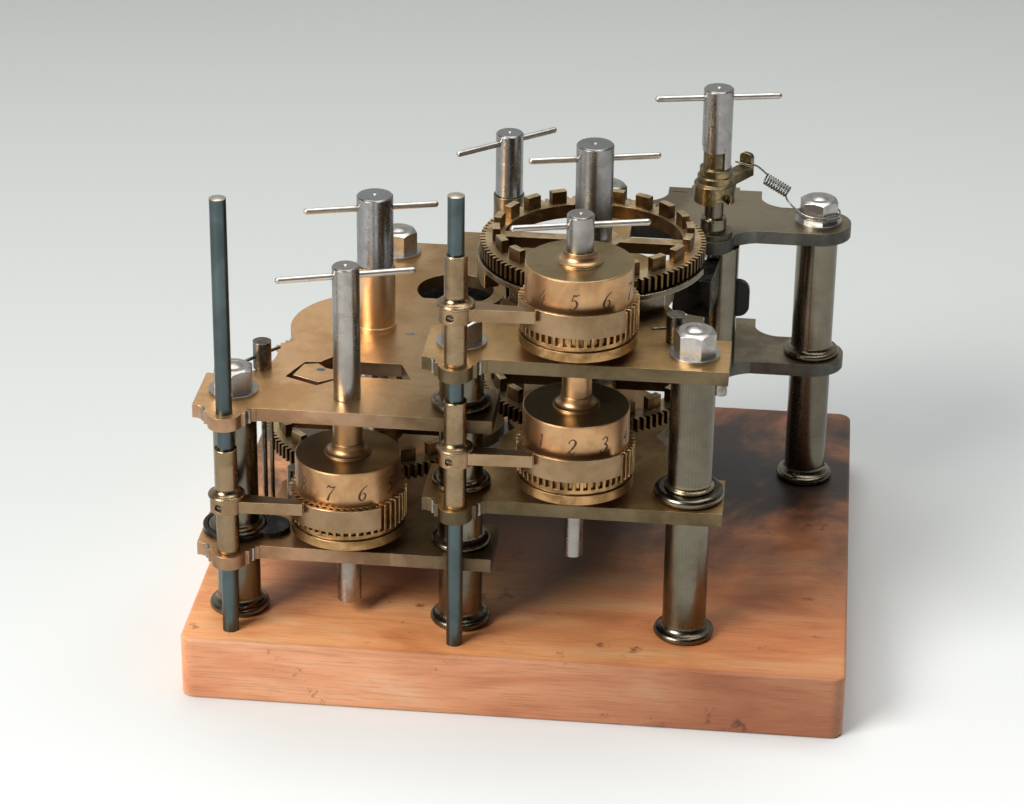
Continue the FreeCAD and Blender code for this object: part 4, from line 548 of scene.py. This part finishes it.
def eased(points):
    """Points of a stroke with a smooth curve drawn through them."""
    padded = [points[0]] + points + [points[-1]]
    drawn = []
    for a, b, c, d in zip(padded, padded[1:], padded[2:], padded[3:]):
        for step in range(STEPS):
            t = step / STEPS
            drawn.append(tuple(
                0.5 * (2 * q + (r - p) * t + (2 * p - 5 * q + 4 * r - s) * t**2
                       + (3 * q - p - 3 * r + s) * t**3)
                for p, q, r, s in zip(a, b, c, d)))
    return drawn + [points[-1]]


def cut_stroke(points, left, order, corners, faces):
    """Adds one engraved stroke, a thin slab that follows the pen, to a row of numbers."""
    drawn = eased(points)
    base = len(corners)
    top = CUT_PROUD + CUT_STEP * order
    for place, (x, y, width) in enumerate(drawn):
        before, after = drawn[max(place - 1, 0)], drawn[min(place + 1, len(drawn) - 1)]
        run, rise = after[0] - before[0], after[1] - before[1]
        length = math.hypot(run, rise) or 1.0
        side, climb = -rise / length * width * STROKE_SPREAD, run / length * width * STROKE_SPREAD
        for sign in (1, -1):
            across, up = x + sign * side, y + sign * climb
            for level in (top, -CUT_DEPTH):
                corners.append((left + (across + up * NUMBER_LEAN - NUMBER_MIDDLE[0]) * NUMBER_HEIGHT,
                                (up - NUMBER_MIDDLE[1]) * NUMBER_HEIGHT, level))
    last = base + 4 * (len(drawn) - 1)
    for start in range(base, last, 4):
        a, b, c, d = range(start, start + 4)
        e, f, g, h = range(start + 4, start + 8)
        faces += [(a, c, g, e), (b, f, h, d), (a, e, f, b), (c, d, h, g)]
    faces += [(base, base + 1, base + 3, base + 2), (last, last + 2, last + 3, last + 1)]


def number_row(name, numbers):
    """The numbers in a flat row, spread over the drum's girth, the first at the origin."""
    corners, faces = [], []
    for place, number in enumerate(numbers):
        for order, points in enumerate(NUMBER_STROKES[number]):
            cut_stroke(points, place * drum_radius * math.tau / NUMBERS_ROUND, order, corners, faces)
    mesh = bpy.data.meshes.new(name)
    mesh.from_pydata(corners, [], faces)
    made = bpy.data.objects.new(name, mesh)
    bpy.context.scene.collection.objects.link(made)
    return made


def new_tree(name, wanted):
    """Geometry Nodes tree with named inputs after its geometry; returns it with its end nodes."""
    made = bpy.data.node_groups.new(name, "GeometryNodeTree")
    made.interface.new_socket("Geometry", in_out="INPUT", socket_type="NodeSocketGeometry")
    for label, kind, value in wanted:
        made.interface.new_socket(label, in_out="INPUT", socket_type=kind).default_value = value
    made.interface.new_socket("Geometry", in_out="OUTPUT", socket_type="NodeSocketGeometry")
    return made, made.nodes.new("NodeGroupInput").outputs, made.nodes.new("NodeGroupOutput")


def finish_tree(tree, end, geometry, material):
    """Ends a tree: instances made real, and the material set."""
    whole = put(tree, "GeometryNodeRealizeInstances", {0: geometry})
    coated = put(tree, "GeometryNodeSetMaterial", {"Geometry": whole.outputs[0], "Material": material})
    tree.links.new(coated.outputs[0], end.inputs[0])


def grow(maker, tree, **sizes):
    """Runs a Geometry Nodes tree on an object and keeps the result as a plain mesh."""
    modifier = maker.modifiers.new("grow", "NODES")
    modifier.node_group = tree
    for item in tree.interface.items_tree:
        label = item.name.lower().replace(" ", "_")
        if item.in_out == "INPUT" and label in sizes:
            modifier[item.identifier] = sizes[label]
    bpy.context.view_layer.update()
    ready = maker.evaluated_get(bpy.context.evaluated_depsgraph_get())
    mesh = bpy.data.meshes.new_from_object(ready)
    name = maker.name
    bpy.data.objects.remove(maker)
    mesh.name = name
    made = bpy.data.objects.new(name, mesh)
    bpy.context.scene.collection.objects.link(made)
    return made


number_ink, tree = new_material("number_ink")
worn_ink = effect(tree, tarnish, Size=0.002)
tint = blend_colour(tree, worn_ink["Mask"], colour("2a1b10"), colour("54371d"))
surface(tree, {"Base Color": tint, "Roughness": between(tree, worn_ink["Fine"], first=0.5, last=0.8)})

wrap_round, start, end = new_tree("wrap_round", [
    ("Radius", FLOAT, drum_radius), ("Turn", FLOAT, 0.0), ("Axis", VECTOR, (0, 0, 0))])
laid = parts_of(wrap_round, put(wrap_round, "GeometryNodeInputPosition").outputs[0])
bow = sums(wrap_round, "DIVIDE", laid["X"], start["Radius"])
bow = sums(wrap_round, "ADD", bow, start["Turn"])
reach = sums(wrap_round, "ADD", start["Radius"], laid["Z"])
aside = sums(wrap_round, "MULTIPLY", reach, sums(wrap_round, "SINE", bow))
ahead = sums(wrap_round, "MULTIPLY", reach, sums(wrap_round, "COSINE", bow))
bent = put(wrap_round, "ShaderNodeCombineXYZ", {"X": aside, "Y": sums(wrap_round, "MULTIPLY", ahead, -1.0),
                                                "Z": laid["Y"]})
placed = put(wrap_round, "ShaderNodeVectorMath", {0: bent.outputs[0], 1: start["Axis"]}, operation="ADD")
wrapped = put(wrap_round, "GeometryNodeSetPosition",
              {"Geometry": start["Geometry"], "Position": placed.outputs[0]})
finish_tree(wrap_round, end, wrapped.outputs[0], number_ink)

# For each drum: its body, the number nearest the front, whether the numbers rise or fall to
# the right, and how many degrees round from the front that first one stands.
for drum, body, nearest, way, turn in (
        ("a", "axis_a", 7, -1, -11.0),
        ("u", "axis_u", 5, 1, -0.6),
        ("l", "axis_l", 2, 1, 0.4)):
    numbers = [(nearest + way * place) % NUMBERS_ROUND for place in range(NUMBERS_ROUND)]
    middle_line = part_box("drum_" + drum)[0].z + NUMBER_RISE
    ring = grow(number_row("numbers_" + drum, numbers), wrap_round, turn=math.radians(turn),
                axis=(*axis_of(body), middle_line))
    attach(ring, body)


# Toothed wheels and ring gears. Cut brass gears with brown patches and bright rubbed tips.
# The rings carry a row of blocks and four flat spokes. The carry parts below are duller.
def gear_brass(name, body, seed, clean, dull, worn, side=None):
    return metal(name, clean, dull, worn, rough=(0.30, 0.46), patch=0.016, share=0.5, seed=seed, gain=6.0,
                 side=side, axis=axis_of(body), pitch=0.0007)


wheel_tints = {"clean": "bd9565", "dull": "80623e", "worn": "f6d49c"}
dress(gear_brass("wheel_brass_left", "axis_a", 1.9, **wheel_tints), "toothed_wheel_a")
dress(gear_brass("wheel_brass_right", "axis_u", 7.2, **wheel_tints), "toothed_wheel_u", "toothed_wheel_l")
# Painted shade: the rings' upright faces take a darker side tint.
ring_tints = {"clean": "dabf95", "dull": "9a8562", "worn": "ecd2a4", "side": "857769"}
dress(gear_brass("ring_brass_left", "axis_2", 4.1, **ring_tints), "ring_gear_a")
dress(gear_brass("ring_brass_right", "axis_4", 2.2, **ring_tints), "ring_gears_b")
carry_brass = metal("carry_brass", clean="8b7550", dull="5a4a31", worn="c4a574", rough=(0.32, 0.5),
                    patch=0.012, share=0.55, seed=3.9)
dress(carry_brass, "carry_sector", "carry_fingers")


# Spindles. Turned steel grips, smooth and grey, with fine rings of the lathe. The bars through
# them are paler and satin, and the two lock posts are of a darker steel.
for name, clean, dull, seed, pieces in (
        ("a", "a29d97", "928c84", 1.1, ("spindle_a",)),
        ("2", "9a9a9b", "8b8a89", 2.3, ("spindle_2",)),
        ("3", "9a9a9a", "8a8a8a", 3.1, ("spindle_3",)),
        ("4", "939291", "848280", 4.6, ("spindle_4",)),
        ("u", "9a9692", "8b8681", 5.2, ("spindle_u", "arbor_l")),
        ("6", "a09e9c", "908d89", 6.7, ("spindle_6",))):
    dress(metal("spindle_steel_" + name, clean, dull, worn="e6e1da", rough=(0.26, 0.32), patch=0.014,
                share=0.42, seed=seed, radius=0.0005, marks=0.05, axis=axis_of("axis_" + name),
                relief=0.000006), *pieces)
bar_steel = metal("bar_steel", clean="cbc5bd", dull="b6afa6", worn="ece6dc", rough=(0.36, 0.44),
                  patch=0.008, share=0.4, seed=8.8, marks=0.05, relief=0.000006)
dress(bar_steel, "bar_a", "bar_2", "bar_3", "bar_4", "bar_u", "bar_6")
post_steel = metal("post_steel", clean="7d776c", dull="4e4a43", worn="bdb5a5", rough=(0.26, 0.42),
                   patch=0.006, share=0.5, seed=9.1)
dress(post_steel, "lock_post_a", "lock_post_b")


# Lever. A brass hub and arm turn on the sixth spindle's arbor, dark with age and golden
# where the edges are rubbed.
lever_brass = metal("lever_brass", clean="94835f", dull="5c5643", worn="e8c88e", rough=(0.24, 0.40),
                    patch=0.010, share=0.55, seed=5.5, radius=0.0006, gain=6.0, axis=axis_of("axis_6"),
                    pitch=0.0006)
dress(lever_brass, "lever")


# Spring. One length of thin steel wire: a hook round the lever's tab, a coil, and a loop
# round the nut of the right rear column.
WIRE_RADIUS = 0.00055
LEVER_TURN = 58.0
LEVER_ARM_TOP = 0.2466
HOOK_RISE = 0.0017
HOOK_REACH = 0.0302
HOOK_TURN = 0.0024
HOOK_BESIDE = 0.0061
COIL_X = 0.1272
COIL_Z = 0.2382
COIL_SLOPE = 30.0
COIL_RADIUS = 0.0032
COIL_PITCH = 0.00175
COIL_TURNS = 9
LOOP_LEVEL = 0.219
LOOP_RADIUS = 0.01275
LOOP_PITCH = 0.0019
LOOP_QUARTERS = 5
TAIL_LENGTH = 0.004
END_HANDLE = 0.001
CIRCLE_SIDES = 12
POINTS_BETWEEN = 7
NEARLY_STRAIGHT = 0.01

nut_x, nut_y = axis_of("spring")
outward = Vector((math.cos(math.radians(LEVER_TURN)), math.sin(math.radians(LEVER_TURN)), 0))
rightward = Vector((outward.y, -outward.x, 0))
hook = Vector((*axis_of("axis_6"), LEVER_ARM_TOP + HOOK_RISE)) + outward * HOOK_REACH
coil_way = Vector((math.cos(math.radians(COIL_SLOPE)), 0, -math.sin(math.radians(COIL_SLOPE))))
coil_side = Vector((0, -1, 0))
coil_up = coil_side.cross(coil_way).normalized()
coil_start = Vector((COIL_X, nut_y, COIL_Z))
route = [
    (hook - rightward * HOOK_BESIDE, rightward),
    (hook + rightward * (HOOK_BESIDE - HOOK_TURN), rightward),
    (hook + rightward * HOOK_BESIDE + outward * HOOK_TURN, (outward + coil_way).normalized()),
]
for quarter in range(1, 4 * COIL_TURNS + 4):
    angle = math.pi * quarter / 2
    radial = coil_side * math.cos(angle) + coil_up * math.sin(angle)
    onward = coil_up * math.cos(angle) - coil_side * math.sin(angle)
    middle = coil_start + coil_way * (COIL_PITCH * quarter / 4)
    heading = onward + coil_way * COIL_PITCH / (math.tau * COIL_RADIUS)
    route.append((middle + radial * COIL_RADIUS, heading.normalized()))
nut_middle = Vector((nut_x, nut_y, LOOP_LEVEL))
away = route[-1][0] - nut_middle
meets = math.atan2(away.y, away.x) + math.acos(LOOP_RADIUS / math.hypot(away.x, away.y))
for quarter in range(LOOP_QUARTERS + 1):
    angle = meets + math.pi * quarter / 2
    radial = Vector((math.cos(angle), math.sin(angle), 0))
    onward = Vector((-radial.y, radial.x, -LOOP_PITCH / (math.tau * LOOP_RADIUS)))
    middle = nut_middle - Vector((0, 0, LOOP_PITCH * quarter / 4))
    route.append((middle + radial * LOOP_RADIUS, onward.normalized()))
last_place, last_heading = route[-1]
route.append((last_place + last_heading * TAIL_LENGTH, last_heading))

wire_line = bpy.data.curves.new("spring_wire", "CURVE")
wire_line.dimensions = "3D"
wire_line.resolution_u = POINTS_BETWEEN
spline = wire_line.splines.new("BEZIER")
spline.bezier_points.add(len(route) - 1)
for point, (place, _) in zip(spline.bezier_points, route):
    point.co = place
stops = list(zip(spline.bezier_points, route))
for (point, (place, heading)), (following, (next_place, next_heading)) in zip(stops, stops[1:]):
    chord = (next_place - place).length
    turn = heading.angle(next_heading)
    handle = chord / 3
    if turn >= NEARLY_STRAIGHT:
        handle = chord * 2 / 3 * math.tan(turn / 4) / math.sin(turn / 2)
    point.handle_right = place + heading * handle
    following.handle_left = next_place - next_heading * handle
spline.bezier_points[0].handle_left = route[0][0] - route[0][1] * END_HANDLE
spline.bezier_points[-1].handle_right = route[-1][0] + route[-1][1] * END_HANDLE
wire_maker = bpy.data.objects.new("spring_wire", wire_line)
bpy.context.scene.collection.objects.link(wire_maker)

wire_steel = metal("wire_steel", clean="8f8a84", dull="57524c", worn="cfc8bd", rough=(0.25, 0.4),
                   patch=0.004, share=0.45, seed=6.1)
drawn_wire, start, end = new_tree("drawn_wire", [("Wire Radius", FLOAT, WIRE_RADIUS)])
section = put(drawn_wire, "GeometryNodeCurvePrimitiveCircle",
              {"Resolution": CIRCLE_SIDES, "Radius": start["Wire Radius"]})
tube = put(drawn_wire, "GeometryNodeCurveToMesh", {
    "Curve": start["Geometry"], "Profile Curve": section.outputs[0], "Fill Caps": True})
smooth = put(drawn_wire, "GeometryNodeSetShadeSmooth", {"Geometry": tube.outputs[0]})
finish_tree(drawn_wire, end, smooth.outputs[0], wire_steel)
spring_wire = grow(wire_maker, drawn_wire, wire_radius=WIRE_RADIUS)
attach(spring_wire, "spring")
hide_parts("spring")
